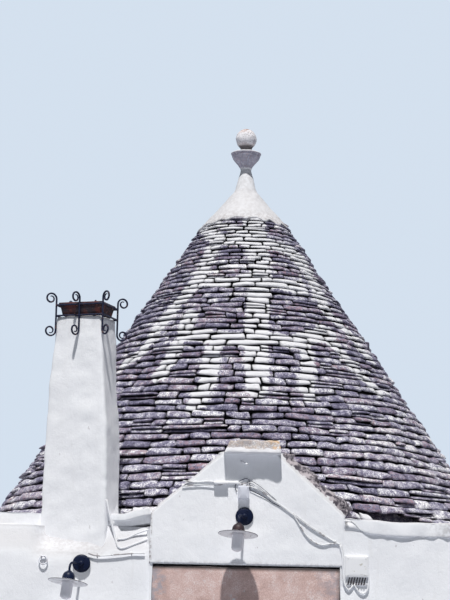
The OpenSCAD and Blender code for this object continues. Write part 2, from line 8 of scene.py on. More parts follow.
import bpy
import numpy as np
from mathutils import Matrix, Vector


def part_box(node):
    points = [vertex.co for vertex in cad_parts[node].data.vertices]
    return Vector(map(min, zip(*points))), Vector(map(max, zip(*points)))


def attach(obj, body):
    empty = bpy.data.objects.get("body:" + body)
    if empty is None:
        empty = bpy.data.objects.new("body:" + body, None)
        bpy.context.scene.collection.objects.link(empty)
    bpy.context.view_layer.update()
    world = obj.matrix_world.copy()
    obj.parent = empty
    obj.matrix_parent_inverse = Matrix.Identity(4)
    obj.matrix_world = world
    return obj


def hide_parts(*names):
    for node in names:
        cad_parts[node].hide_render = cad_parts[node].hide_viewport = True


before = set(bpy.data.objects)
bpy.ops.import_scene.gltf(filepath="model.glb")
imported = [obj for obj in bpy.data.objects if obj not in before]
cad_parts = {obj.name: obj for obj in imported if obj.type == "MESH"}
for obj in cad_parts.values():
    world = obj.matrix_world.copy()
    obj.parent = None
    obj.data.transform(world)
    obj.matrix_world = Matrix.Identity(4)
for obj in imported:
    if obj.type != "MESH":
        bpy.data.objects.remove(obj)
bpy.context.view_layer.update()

# %% [markdown]
# ## The photograph's camera
# The picture was taken from the street with a long lens, looking up a little and turned a little
# clockwise. Its horizon lies just under the lower edge. These values came from lining up the cone's
# edges, the gable and the chimney with the model, so a pixel can be turned into a line of sight, and the
# line of sight into a place on a wall or on the cone.

# %% Camera
PHOTO_WIDTH = 450
PHOTO_HEIGHT = 600
LENS_PIXELS = 1700.0
HORIZON_ROW = 615.0
SENSOR = 36.0
EYE = np.array([-0.215, -17.3, 1.88])
ROLL = np.radians(1.2)

pitch = np.arctan((HORIZON_ROW - PHOTO_HEIGHT / 2) / LENS_PIXELS)
ahead = np.array([0, np.cos(pitch), np.sin(pitch)])
level = np.array([1.0, 0, 0])
level_up = np.cross(level, ahead)
eye_right = np.cos(ROLL) * level + np.sin(ROLL) * level_up
eye_up = -np.sin(ROLL) * level + np.cos(ROLL) * level_up

camera = bpy.data.objects.new("camera", bpy.data.cameras.new("camera"))
camera.data.lens = LENS_PIXELS / PHOTO_HEIGHT * SENSOR
camera.data.sensor_width = SENSOR
camera.data.clip_end = 400
turned = Matrix(np.stack([eye_right, eye_up, -ahead], 1).tolist()).to_4x4()
camera.matrix_world = Matrix.Translation(EYE.tolist()) @ turned
bpy.context.scene.collection.objects.link(camera)
bpy.context.scene.camera = camera


def sight(pixels):
    """Lines of sight through pixels: ahead, plus right and up by the pixel's distance from the middle."""
    x, y = np.asarray(pixels, float).T
    return (ahead * LENS_PIXELS + np.outer(x - PHOTO_WIDTH / 2, eye_right)
            + np.outer(PHOTO_HEIGHT / 2 - y, eye_up))


print("lens", round(camera.data.lens, 1), "mm, looking up", round(float(np.degrees(pitch)), 1), "degrees")

# %% [markdown]
# ## Light, floor and backdrop
# A high sun stands in front of the house, which gives the dark lines under every roof slab. A plain sky
# fills the shadows. The two are balanced so that a level white ledge stays just under full white. The
# backdrop colour is only what the camera and the reflections see.

# %% Light and stage
SUN_HEIGHT = np.radians(67)
SUN_SIDE = np.radians(-7)
SUN_STRENGTH = 4.35
SUN_COLOUR = (1, 0.985, 0.96)
SUN_SIZE = np.radians(2)
SKY_STRENGTH = 0.07
SKY_COLOUR = (0.72, 0.85, 1, 1)
BACKDROP = (0.66, 0.75, 0.86, 1)
STAGE_GREY = (0.37, 0.39, 0.44, 1)
FLOOR_REACH = 60

sun = bpy.data.objects.new("sun", bpy.data.lights.new("sun", "SUN"))
sun.data.energy = SUN_STRENGTH
sun.data.angle = SUN_SIZE
sun.data.color = SUN_COLOUR
sun.rotation_euler = (np.pi / 2 - SUN_HEIGHT, 0, SUN_SIDE)
bpy.context.scene.collection.objects.link(sun)


def add(tree, kind, links=None, **settings):
    """Adds a shader node: settings are its own choices, links its inputs, as values or as sockets."""
    made = tree.nodes.new("ShaderNode" + kind)
    for key, value in settings.items():
        setattr(made, key, value)
    for key, value in (links or {}).items():
        if isinstance(value, bpy.types.NodeSocket):
            tree.links.new(value, made.inputs[key])
        else:
            made.inputs[key].default_value = value
    return made


world = bpy.data.worlds.new("sky")
world.use_nodes = True
sky = world.node_tree
sky.nodes.clear()
seen = add(sky, "LightPath").outputs
direct = add(sky, "Math", {0: seen["Is Camera Ray"], 1: seen["Is Glossy Ray"]}, operation="MAXIMUM")
either = add(sky, "Math", {0: direct.outputs[0], 1: seen["Is Transmission Ray"]}, operation="MAXIMUM")
fill = add(sky, "Background", {"Color": SKY_COLOUR, "Strength": SKY_STRENGTH})
backdrop = add(sky, "Background", {"Color": BACKDROP, "Strength": 1.0})
mixed = add(sky, "MixShader", {0: either.outputs[0], 1: fill.outputs[0], 2: backdrop.outputs[0]})
add(sky, "OutputWorld", {0: mixed.outputs[0]})
bpy.context.scene.world = world
bpy.context.scene.view_settings.view_transform = "Standard"

floor_mesh = bpy.data.meshes.new("stage_floor")
floor_corners = FLOOR_REACH * np.array([[-1, -1], [1, -1], [1, 1], [-1, 1]])
floor_mesh.from_pydata(np.column_stack([floor_corners, np.full(4, -0.001)]).tolist(), [], [[0, 1, 2, 3]])
stage_floor = bpy.data.objects.new("stage_floor", floor_mesh)
bpy.context.scene.collection.objects.link(stage_floor)
stage_look = bpy.data.materials.new("stage_grey")
stage_look.use_nodes = True
stage_shader = stage_look.node_tree.nodes["Principled BSDF"]
stage_shader.inputs["Base Color"].default_value = STAGE_GREY
stage_shader.inputs["Roughness"].default_value = 0.9
floor_mesh.materials.append(stage_look)
print("sun", SUN_STRENGTH, "sky", SKY_STRENGTH)

# %% [markdown]
# ## Measures from the frame
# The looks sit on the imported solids, so their places are read from the solids' boxes. What a box doesn't
# give, such as the cone's slope, is a named value here, the same as in the part's source.

# %% Measures
def corner_pair(box):
    """The low and the high corner of a box, as arrays."""
    return [np.array(corner) for corner in box]


lintel_low, lintel_high = corner_pair(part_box("lintel"))
gable_low, gable_high = corner_pair(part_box("gable"))
coping_high = np.array(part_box("coping_back_right")[1])
chimney_low, chimney_high = corner_pair(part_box("chimney"))
wall_high = np.array(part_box("back_wall")[1])
FACE = float(lintel_low[1])
REVEAL = float(lintel_high[1])
LEFT_FRONT = FACE + 0.040
RIGHT_FRONT = FACE + 0.010
WALL_TOP = float(wall_high[2])
COPING_TOP = float(coping_high[2])
HALF_WIDTH = float(wall_high[0])
BACK = float(wall_high[1])
ROOM = float(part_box("back_wall")[0].y)
PORTAL_X = float(lintel_low[0] + lintel_high[0]) / 2
BANK_RISE = 0.221
BANK_DEPTH = 0.100

FOOT_RADIUS = 2.519
TOP_RADIUS = 0.414
FOOTING_RADIUS = 2.560
COURSES = 52
FIRST_COURSE, LAST_COURSE = 0.082, 0.039
rises = np.linspace(FIRST_COURSE, LAST_COURSE, COURSES)
levels = COPING_TOP + np.concatenate([[0], np.cumsum(rises)])
CONE_TOP = float(levels[-1])
TAPER = (FOOT_RADIUS - TOP_RADIUS) / (CONE_TOP - COPING_TOP)


def cone_radius(z):
    """Radius of the cone at a height: it falls in a straight line from the foot to the top."""
    return FOOT_RADIUS - TAPER * (z - COPING_TOP)


def on_cone(pixels):
    """Where lines of sight first meet the cone: the nearer root of x2 + y2 = (cone radius at z) squared."""
    d = sight(pixels)
    reach = FOOT_RADIUS + TAPER * (COPING_TOP - EYE[2])
    a = d[:, 0] ** 2 + d[:, 1] ** 2 - (TAPER * d[:, 2]) ** 2
    b = EYE[0] * d[:, 0] + EYE[1] * d[:, 1] + TAPER * d[:, 2] * reach
    c = EYE[0] ** 2 + EYE[1] ** 2 - reach ** 2
    far = (-b - np.sqrt(np.maximum(b * b - a * c, 0))) / a
    return EYE + far[:, None] * d


LEAN = 0.0065
SAG = 0.032


def settled(points):
    """Points moved as the old masonry has settled. Above the coping the cone leans left by LEAN for each
    metre of height, and the front's right part has sunk by SAG, which fades up the cone."""
    x, y, z = points[..., 0], points[..., 1], points[..., 2]
    up = np.maximum(z - COPING_TOP, 0)
    sunk = SAG * ease(x, 0.80, 1.30) * ease(-y, 1.0, 2.2) * (1 - ease(up, 0.05, 0.80))
    return points - np.stack([LEAN * up, 0 * x, sunk], -1)


print("cone from", round(COPING_TOP, 3), "to", round(CONE_TOP, 3), "in", COURSES, "courses")

# %% [markdown]
# ## Working with surfaces
# Every shape here is a row of closed outlines joined into a skin. An outline goes anticlockwise about the
# direction in which the row runs, so that faces point outwards. The first and the last outline are closed
# with a fan round their middle. Uneven surfaces come from lattice noise: random numbers at the corners of
# cells of a given size, blended smoothly between the corners.

# %% Noise
def lumps(points, size, seed=0):
    """Smooth noise from -1 to 1 that changes over about this size.
    Random numbers stand at the corners of a lattice, and a point blends the eight corners round it."""
    place = points / size
    cell = np.floor(place).astype(np.int64)
    part = place - cell
    part = part * part * (3 - 2 * part)
    total = 0
    for corner in np.ndindex(2, 2, 2):
        at = cell + corner
        mix = at[..., 0] * 73856093 ^ at[..., 1] * 19349663 ^ at[..., 2] * 83492791 ^ (seed + 1) * 9973
        mix = ((mix ^ (mix >> 13)) & 0xFFFFFF) * 1274126177 & 0x7FFFFFFF
        value = ((mix ^ (mix >> 15)) & 0xFFFF) / 32767.5 - 1
        weight = np.where(corner, part, 1 - part).prod(-1)
        total = total + weight * value
    return total


def ease(x, low, high):
    """0 below low, 1 above high, and a smooth step between."""
    t = np.clip((x - low) / (high - low), 0, 1)
    return t * t * (3 - 2 * t)


def round_off(x, power):
    """How far a rounded end has drawn in at x from -1 to 1: 1 - (1 - |x|^power)^(1/power)."""
    return 1 - np.maximum(1 - np.abs(x) ** power, 0) ** (1 / power)


print("noise at the origin", round(float(lumps(np.zeros(3), 0.1)), 3))

# %% Skins
def skin(rings, closed=False):
    """Joins outlines (rings, points, 3) into a shape of points, quads and triangles. A stack of such
    rows (stones, rings, points, 3) makes many shapes at once. Closed joins the last ring to the first."""
    rings = np.asarray(rings, float)
    rings = rings[None] if rings.ndim == 3 else rings
    s, n, m = rings.shape[:3]
    i, j = np.meshgrid(np.arange(n if closed else n - 1), np.arange(m), indexing="ij")
    k, up = (j + 1) % m, (i + 1) % n
    quads = np.stack([i * m + j, i * m + k, up * m + k, up * m + j], -1).reshape(-1, 4)
    points, each = rings.reshape(s, n * m, 3), n * m
    fans = np.zeros((0, 3), int)
    if not closed:
        j = np.arange(m)
        k, low, high = (j + 1) % m, np.full(m, n * m), np.full(m, n * m + 1)
        fans = np.concatenate([np.stack([low, k, j], 1), np.stack([high, each - m + j, each - m + k], 1)])
        points = np.concatenate([points, rings[:, [0, -1]].mean(2)], 1)
        each += 2
    shift = (np.arange(s) * each)[:, None, None]
    return points.reshape(-1, 3), (quads + shift).reshape(-1, 4), (fans + shift).reshape(-1, 3)


def joined(shapes):
    """Several shapes as one: the point numbers of each are moved past those of the ones before it."""
    starts = np.cumsum([0] + [len(points) for points, _, _ in shapes[:-1]])
    return (np.concatenate([points for points, _, _ in shapes]),
            np.concatenate([quads + at for (_, quads, _), at in zip(shapes, starts)]),
            np.concatenate([fans + at for (_, _, fans), at in zip(shapes, starts)]))


def outward(rings):
    """Directions at right angles to the skin: along the outline crossed with along the row."""
    around = np.roll(rings, -1, -2) - np.roll(rings, 1, -2)
    along = np.gradient(rings, axis=-3)
    across = np.cross(around, along)
    return across / np.maximum(np.linalg.norm(across, axis=-1, keepdims=True), 1e-9)


def roughened(rings, *waves, seed=0):
    """Moves a skin in and out by lattice noise: each wave is a height and the size of its lumps."""
    move = sum(height * lumps(rings, size, seed + k) for k, (height, size) in enumerate(waves))
    return rings + outward(rings) * move[..., None]


def piece(name, shape, look, slot, replaced=(), **values):
    """Puts a shape into Blender as a piece that rides on the house and stands for the named nodes.
    Values are numbers, one for all points or one for each, kept as attributes that its material reads."""
    points, quads, fans = shape
    points = np.column_stack([points[:, :2], np.maximum(points[:, 2], 0)])
    mesh = bpy.data.meshes.new(name)
    mesh.from_pydata(points.tolist(), [], quads.tolist() + fans.tolist())
    mesh.polygons.foreach_set("use_smooth", np.full(len(mesh.polygons), True))
    # Whitewash pieces keep how far each point faces up; their material turns it into dust and a painted shade
    # on the tops.
    if look.name.startswith("whitewash"):
        normals = np.zeros(len(points) * 3, np.float32)
        mesh.vertex_normals.foreach_get("vector", normals)
        values["level"] = ease(normals[2::3], 0.05, 0.50)
    for key, value in values.items():
        stored = mesh.attributes.new(key, "FLOAT", "POINT")
        stored.data.foreach_set("value", np.broadcast_to(value, len(points)).astype(np.float32))
    mesh.materials.append(look)
    made = bpy.data.objects.new(name, mesh)
    bpy.context.scene.collection.objects.link(made)
    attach(made, "root")
    if replaced:
        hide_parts(*replaced)
    print(name, "has", 2 * len(quads) + len(fans), "triangles")
    return made


print("a strip between two square outlines has", len(skin(np.zeros((2, 4, 3)))[1]), "quads")

# %% Round blocks, turned shapes and bars
def round_outline(n_a, n_b, n_corner=3):
    """A rectangle with round corners, anticlockwise: for each point its place on the inner rectangle,
    from -1 to 1 both ways, and its outward direction."""
    core, out = [], []
    for k in range(4):
        c, s = np.cos(k * np.pi / 2), np.sin(k * np.pi / 2)
        turn = np.array([[c, s], [-s, c]])
        n = (n_b, n_a)[k % 2]
        side = np.stack([np.ones(n), np.linspace(-1, 1, n + 2)[1:-1]], 1)
        angle = np.linspace(0, np.pi / 2, n_corner + 1)
        core += [side @ turn, np.ones((n_corner + 1, 2)) @ turn]
        out += [np.tile([1.0, 0.0], (n, 1)) @ turn, np.stack([np.cos(angle), np.sin(angle)], 1) @ turn]
    return np.concatenate(core), np.concatenate(out)


def block_rings(low, high, radius, step, axis=2):
    """Outlines of a block with rounded edges. Near each end they draw in along a quarter circle, and
    then shrink towards the end's middle."""
    low, high = np.asarray(low, float), np.asarray(high, float)
    a, b = {0: (1, 2), 1: (2, 0), 2: (0, 1)}[axis]
    half, middle = (high - low) / 2, (high + low) / 2
    count = np.maximum(np.round(2 * half / step).astype(int), 1)
    core, out = round_outline(count[a], count[b])
    bend = np.radians([75, 50, 25])
    shrink = np.arange(1, max(min(count[a], count[b]) // 2, 1)) / max(min(count[a], count[b]) // 2, 1)
    straight = np.linspace(-1, 1, count[axis] + 1) * (half[axis] - radius)
    edge = half[axis] - radius + radius * np.sin(bend)
    heights = np.concatenate([np.full(len(shrink), -half[axis]), -edge, straight, edge[::-1],
                              np.full(len(shrink), half[axis])])
    drawn = np.concatenate([np.full(len(shrink), np.cos(bend[0])), np.cos(bend), np.ones(len(straight)),
                            np.cos(bend[::-1]), np.full(len(shrink), np.cos(bend[0]))])
    size = np.concatenate([shrink, np.ones(len(straight) + 6), shrink[::-1]])
    flat = core * (half[[a, b]] - radius) + drawn[:, None, None] * radius * out
    rings = np.zeros((len(heights), len(core), 3))
    rings[..., [a, b]] = flat * size[:, None, None]
    rings[..., axis] = heights[:, None]
    return rings + middle


def full_turn(sides):
    """Angles that go once round in equal steps."""
    return np.arange(sides) * 2 * np.pi / sides


def around_axis(radius, angle, z):
    """Points at a distance from the Z axis, an angle about it and a height."""
    return np.stack([radius * np.cos(angle), radius * np.sin(angle), z + 0 * angle], -1)


def turned_rings(profile, sides):
    """Outlines of a turned shape about Z, from a profile of radii and heights."""
    radius, height = np.asarray(profile, float).T[..., None]
    return around_axis(radius, full_turn(sides), height)


def facing_front(rings):
    """A shape that was turned about Z, laid over so that it is turned about Y and its top faces the front."""
    return rings @ np.array([[1, 0, 0], [0, 0, 1], [0, -1, 0]])


def bar_rings(path, section, flat, size=1.0):
    """Carries a section along a path. Its first direction stays as near as it can to the flat one."""
    path = np.asarray(path, float)
    way = np.gradient(path, axis=0)
    way /= np.linalg.norm(way, axis=1, keepdims=True)
    first = flat - (way @ flat)[:, None] * way
    first /= np.linalg.norm(first, axis=1, keepdims=True)
    second = np.cross(way, first)
    size = np.broadcast_to(np.asarray(size, float), len(path))[:, None, None]
    return path[:, None] + size * (section[:, :1] * first[:, None] + section[:, 1:] * second[:, None])


def circle(radius, sides=12):
    """A round section."""
    angle = full_turn(sides)
    return radius * np.stack([np.cos(angle), np.sin(angle)], 1)


def square_bar(side, cut=0.15):
    """A square section with its four corners cut off."""
    core, out = round_outline(0, 0, 1)
    return core * side * (0.5 - cut) + out * side * cut


def curve_through(points, step):
    """A smooth path through points: on each stretch a cubic that leaves and arrives along the line
    between the neighbours (a Catmull-Rom curve)."""
    points = np.asarray(points, float)
    padded = np.concatenate([2 * points[:1] - points[1:2], points, 2 * points[-1:] - points[-2:-1]])
    path = []
    for a, b, c, d in zip(padded, padded[1:], padded[2:], padded[3:]):
        t = np.linspace(0, 1, max(int(np.linalg.norm(c - b) / step), 2), endpoint=False)[:, None]
        path.append(0.5 * (2 * b + (c - a) * t + (2 * a - 5 * b + 4 * c - d) * t ** 2
                           + (3 * b - a - 3 * c + d) * t ** 3))
    return np.concatenate(path + [points[-1:]])


def way_round(path):
    """Directions along a path that closes on itself."""
    way = np.roll(path, -1, 0) - np.roll(path, 1, 0)
    return way / np.linalg.norm(way, axis=1, keepdims=True)


def loop_rings(path, section, first, second):
    """Carries a section along a path that closes on itself, laid along two given directions."""
    first, second = np.broadcast_to(first, path.shape), np.broadcast_to(second, path.shape)
    return path[:, None] + section[:, :1] * first[:, None] + section[:, 1:] * second[:, None]


def at_heights(outlines, heights):
    """Flat outlines (rings, points, 2), each lifted to its own height."""
    return np.concatenate([outlines, heights[:, None, None] + 0 * outlines[..., :1]], 2)


def turned_about_z(points, angle):
    """Points turned about the Z axis, anticlockwise from above."""
    c, s = np.cos(angle), np.sin(angle)
    return points @ np.array([[c, s, 0], [-s, c, 0], [0, 0, 1]])


print("a round block has", block_rings([0, 0, 0], [0.3, 0.2, 0.1], 0.01, 0.05).shape[:2], "outlines, points")

# %% [markdown]
# ## Effects that the materials share
# Lime wash, stone, iron and wood are all uneven in the same ways: soft patches, streaks and a grainy
# relief. Each effect is a node group that gives a mask or a height from Object coordinates, and every
# material places it with its own scale and limits. The colours and the shader stay in the material.

# %% Node groups
def effect(name, inputs, output):
    """Starts a node group with number inputs and one number output, and gives its two end nodes."""
    tree = bpy.data.node_groups.new(name, "ShaderNodeTree")
    for label, value in inputs.items():
        made = tree.interface.new_socket(label, in_out="INPUT", socket_type="NodeSocketFloat")
        made.default_value = value
    tree.interface.new_socket(output, in_out="OUTPUT", socket_type="NodeSocketFloat")
    return tree, tree.nodes.new("NodeGroupInput").outputs, tree.nodes.new("NodeGroupOutput").inputs


def stretched_place(tree, stretch, seed):
    """Object coordinates with Z multiplied by stretch, moved by seed to another part of the noise."""
    place = add(tree, "TexCoord").outputs["Object"]
    factor = add(tree, "CombineXYZ", {0: 1.0, 1: 1.0, 2: stretch}).outputs[0]
    moved = add(tree, "CombineXYZ", {0: seed, 1: seed, 2: seed}).outputs[0]
    return add(tree, "VectorMath", {0: place, 1: factor, 2: moved}, operation="MULTIPLY_ADD").outputs[0]


patch_group, given, result = effect(
    "soft_patches", {"Scale": 5.0, "Stretch": 1.0, "Seed": 0.0, "From": 0.4, "To": 0.6}, "Mask")
cloud = add(patch_group, "TexNoise", {
    "Vector": stretched_place(patch_group, given["Stretch"], given["Seed"]), "Scale": given["Scale"],
    "Detail": 4.0, "Roughness": 0.6})
mask = add(patch_group, "MapRange", {0: cloud.outputs[0], 1: given["From"], 2: given["To"]},
           interpolation_type="SMOOTHSTEP")
patch_group.links.new(mask.outputs[0], result[0])

grain_group, given, result = effect(
    "grainy_relief", {"Scale": 30.0, "Stretch": 1.0, "Pits": 0.5}, "Height")
place = stretched_place(grain_group, given["Stretch"], 3.1)
coarse = add(grain_group, "TexNoise", {"Vector": place, "Scale": given["Scale"], "Detail": 5.0,
                                       "Roughness": 0.65}).outputs[0]
pit_scale = add(grain_group, "Math", {0: given["Scale"], 1: 2.2}, operation="MULTIPLY").outputs[0]
pits = add(grain_group, "TexVoronoi", {"Vector": place, "Scale": pit_scale}).outputs[0]
shallow = add(grain_group, "MapRange", {0: pits, 1: 0.0, 2: 0.35}).outputs[0]
pitted = add(grain_group, "Math", {0: shallow, 1: given["Pits"], 2: coarse}, operation="MULTIPLY_ADD")
grain_group.links.new(pitted.outputs[0], result[0])


def patches(tree, scale, low=0.4, high=0.6, stretch=1.0, seed=0.0):
    """A mask of soft patches: scale is patches per metre, low and high the noise where they start and end."""
    made = tree.nodes.new("ShaderNodeGroup")
    made.node_tree = patch_group
    for key, value in {"Scale": scale, "Stretch": stretch, "Seed": seed, "From": low, "To": high}.items():
        made.inputs[key].default_value = value
    return made.outputs[0]


def relief(tree, scale, stretch=1.0, pits=0.5):
    """A grainy height for a Bump node."""
    made = tree.nodes.new("ShaderNodeGroup")
    made.node_tree = grain_group
    for key, value in {"Scale": scale, "Stretch": stretch, "Pits": pits}.items():
        made.inputs[key].default_value = value
    return made.outputs[0]


def mixed_colour(tree, mask, a, b):
    """Colour a where the mask is 0 and b where it is 1."""
    a, b = [(*c, 1) if isinstance(c, tuple) else c for c in (a, b)]
    return add(tree, "Mix", {0: mask, 6: a, 7: b}, data_type="RGBA").outputs[2]


def sums(tree, operation, a, b, c=0.0):
    """One Math node, clamped to 0 to 1."""
    return add(tree, "Math", {0: a, 1: b, 2: c}, operation=operation, use_clamp=True).outputs[0]


def own_value(tree, name):
    """A number that the piece keeps for each point."""
    return add(tree, "Attribute", attribute_name=name).outputs[2]


def finish(name, colour_of, rough=(0.8, 0.95), bump_scale=30.0, bump_depth=0.003, stretch=1.0, pits=0.5,
           **constants):
    """A material: colour_of builds its colour nodes, roughness varies in patches between two values, and
    a grainy relief feeds the Bump. Constants are set on the shader's own sockets."""
    made = bpy.data.materials.new(name)
    made.use_nodes = True
    tree = made.node_tree
    shader = tree.nodes["Principled BSDF"]
    for key, value in constants.items():
        shader.inputs[key.replace("_", " ")].default_value = value
    tree.links.new(colour_of(tree), shader.inputs["Base Color"])
    varied = add(tree, "MapRange", {0: patches(tree, bump_scale / 3, 0.3, 0.7), 3: rough[0], 4: rough[1]})
    tree.links.new(varied.outputs[0], shader.inputs["Roughness"])
    bump = add(tree, "Bump", {"Height": relief(tree, bump_scale, stretch, pits), "Distance": bump_depth})
    tree.links.new(bump.outputs[0], shader.inputs["Normal"])
    return made


print("node groups:", patch_group.name, grain_group.name)

# %% [markdown]
# ## Lime wash
# Walls like these get a new coat of lime every year. The coats build up into a soft, brushed skin that is
# white with faint blue-grey clouds. Rain leaves weak streaks, and mortar shows where the wash stops. Each
# piece tells the material where that is through its own values for mortar and for dirt, which on the cap
# and on the bank is a painted shade too. Its value level, from how far it faces up, brings in dust and a
# painted shade that keeps the tops that the high sun lights most under full white.

# %% Whitewash material
WHITE = (0.925, 0.935, 0.965)


def whitewash_colour(tree):
    """White, clouded, brushed, streaked and chipped, with dust and a painted shade where level shows that it
    faces up, then dirt, in places with painted shade, and bare mortar where the piece asks for them."""
    clouds = sums(tree, "MULTIPLY", patches(tree, 1.6, 0.42, 0.75), 0.30)
    colour = mixed_colour(tree, clouds, WHITE, (0.80, 0.815, 0.86))
    brushed = sums(tree, "MULTIPLY", patches(tree, 26, 0.48, 0.72, stretch=0.35, seed=4), 0.14)
    colour = mixed_colour(tree, brushed, colour, (0.76, 0.77, 0.81))
    streaks = sums(tree, "MULTIPLY", patches(tree, 9, 0.58, 0.80, stretch=0.12, seed=9), 0.18)
    colour = mixed_colour(tree, streaks, colour, (0.68, 0.66, 0.64))
    chips = sums(tree, "MULTIPLY", patches(tree, 20, 0.70, 0.735, stretch=0.5, seed=13), 0.55)
    colour = mixed_colour(tree, chips, colour, (0.50, 0.47, 0.49))
    # Dust and a painted shade: what faces up, and so takes the most of the high sun, is mixed towards grey.
    colour = mixed_colour(tree, own_value(tree, "level"), colour, (0.63, 0.63, 0.655))
    # Dirt where the piece asks for it; on the cap and on the bank before the chimney it is a painted shade
    # too.
    dirt_and_shade_cover = sums(tree, "MULTIPLY", patches(tree, 30, 0.38, 0.62, seed=2), own_value(tree, "grime"))
    colour = mixed_colour(tree, dirt_and_shade_cover, colour, (0.36, 0.33, 0.33))
    gaps = patches(tree, 21, 0.40, 0.60, seed=6)
    bare = mixed_colour(tree, gaps, (0.060, 0.050, 0.064), (0.44, 0.395, 0.42))
    uneven = patches(tree, 24, 0.30, 0.70, seed=7)
    uneven = sums(tree, "MULTIPLY_ADD", uneven, 0.5, own_value(tree, "mortar"))
    edge = add(tree, "MapRange", {0: uneven, 1: 0.62, 2: 0.80}, interpolation_type="SMOOTHSTEP").outputs[0]
    return mixed_colour(tree, edge, colour, bare)


whitewash = finish("whitewash", whitewash_colour, (0.78, 0.95), 34, 0.003, stretch=0.7, pits=0.25)
print("whitewash", WHITE)

# %% [markdown]
# ## Stone
# The roof slabs, the slab on the gable, the lintel, the cup and the floor are all limestone. One function
# makes them: mottled patches and fine grain choose between a dark, a middle and a light tone, the value
# tone shifts a whole stone, stain brings in a second colour, wash covers it with lime, and a painted shade
# darkens what lies far back in a joint, where no light gets, and the other shaded places a piece names.
# The lime on the stones is darker than on the walls, a painted shade for faces that the sun lights most.

# %% Stone materials
# Lime on the stones, set darker than the walls' lime as a painted shade, so the sunlit slab noses stay under
# full white.
SHADED_LIME_ON_STONE = (0.735, 0.735, 0.77)
# The colour that the painted shade darkens joints and shaded places to.
PAINTED_SHADE_COLOUR = (0.010, 0.009, 0.011)


def stone_colour(dark, middle, light, stain, mottle=9.0, grain=80.0, stretch=1.0, contrast=1.0):
    """Gives the colour nodes of one kind of stone, from three tones and a stain."""
    def build(tree):
        broad = patches(tree, mottle, 0.3, 0.7, stretch=stretch)
        fine = patches(tree, grain, 0.35, 0.65, seed=5)
        value = sums(tree, "MULTIPLY_ADD", broad, 0.42 * contrast, own_value(tree, "tone"))
        value = sums(tree, "MULTIPLY_ADD", fine, 0.40 * contrast, value)
        ramp = add(tree, "ValToRGB", {0: value})
        for place, colour in ((0.0, dark), (0.5, middle), (1.0, light)):
            stop = ramp.color_ramp.elements[0] if place == 0 else ramp.color_ramp.elements.new(place)
            stop.position = place
            stop.color = (*colour, 1)
        ramp.color_ramp.elements.remove(ramp.color_ramp.elements[-1])
        stained = patches(tree, mottle * 2.2, 0.42, 0.62, seed=11)
        stained = sums(tree, "MULTIPLY", stained, own_value(tree, "stain"))
        colour = mixed_colour(tree, stained, ramp.outputs[0], stain)
        brush = patches(tree, 34, 0.3, 0.7, seed=8)
        worn = add(tree, "Math", {0: brush, 1: 0.55, 2: own_value(tree, "wash")},
                   operation="MULTIPLY_ADD").outputs[0]
        cover = add(tree, "MapRange", {0: worn, 1: 0.66, 2: 0.86}, interpolation_type="SMOOTHSTEP").outputs[0]
        colour = mixed_colour(tree, cover, colour, SHADED_LIME_ON_STONE)
        return mixed_colour(tree, own_value(tree, "deep"), colour, PAINTED_SHADE_COLOUR)
    return build


roof_stone = finish("roof_stone", stone_colour(
    (0.024, 0.022, 0.050), (0.238, 0.222, 0.328), (0.71, 0.69, 0.84), (0.34, 0.21, 0.25), 16, 90,
    contrast=1.20),
    (0.8, 0.98), 55, 0.008, pits=0.6)
slab_stone = finish("slab_stone", stone_colour(
    (0.30, 0.27, 0.28), (0.50, 0.47, 0.48), (0.74, 0.72, 0.74), (0.62, 0.40, 0.22), 12, 90),
    (0.8, 0.95), 45, 0.005)
cup_stone = finish("cup_stone", stone_colour(
    (0.26, 0.26, 0.32), (0.50, 0.50, 0.61), (0.72, 0.72, 0.83), (0.46, 0.35, 0.37), 30, 110, stretch=0.15),
    (0.8, 0.95), 60, 0.003)
lintel_stone = finish("lintel_stone", stone_colour(
    (0.46, 0.31, 0.27), (0.70, 0.50, 0.46), (0.88, 0.75, 0.73), (0.44, 0.39, 0.42), 7, 120, contrast=0.8),
    (0.8, 0.95), 60, 0.004, pits=0.7)
floor_stone = finish("floor_stone", stone_colour(
    (0.36, 0.33, 0.29), (0.55, 0.51, 0.45), (0.70, 0.66, 0.60), (0.40, 0.34, 0.28), 6, 60),
    (0.35, 0.7), 25, 0.003)
vault_stone = finish("vault_stone", stone_colour(
    (0.42, 0.40, 0.37), (0.66, 0.64, 0.60), (0.80, 0.78, 0.75), (0.45, 0.40, 0.34), 10, 50),
    (0.8, 0.95), 20, 0.012, stretch=4.0, pits=0.8)
print("six kinds of stone")

# %% [markdown]
# ## Iron, enamel, glass, clay, wood and plastic
# The basket and the lamps are iron under thick blue-black paint that is worn to rust in specks. The lamp
# shades are grey-white enamel, and their glass is frosted. The flower box is fired clay with a lime bloom,
# the door dark planks whose grain runs upwards, and the boxes and cables plain plastic under lime.

# %% Other materials
def speckled(base, second, scale, low, high, amount=1.0, stretch=1.0, third=None):
    """Two colours mixed by patches, and a third one in small specks if it is given."""
    def build(tree):
        mask = sums(tree, "MULTIPLY", patches(tree, scale, low, high, stretch=stretch), amount)
        colour = mixed_colour(tree, mask, base, second)
        if third is not None:
            colour = mixed_colour(tree, patches(tree, scale * 3, 0.60, 0.68, seed=13), colour, third)
        return colour
    return build


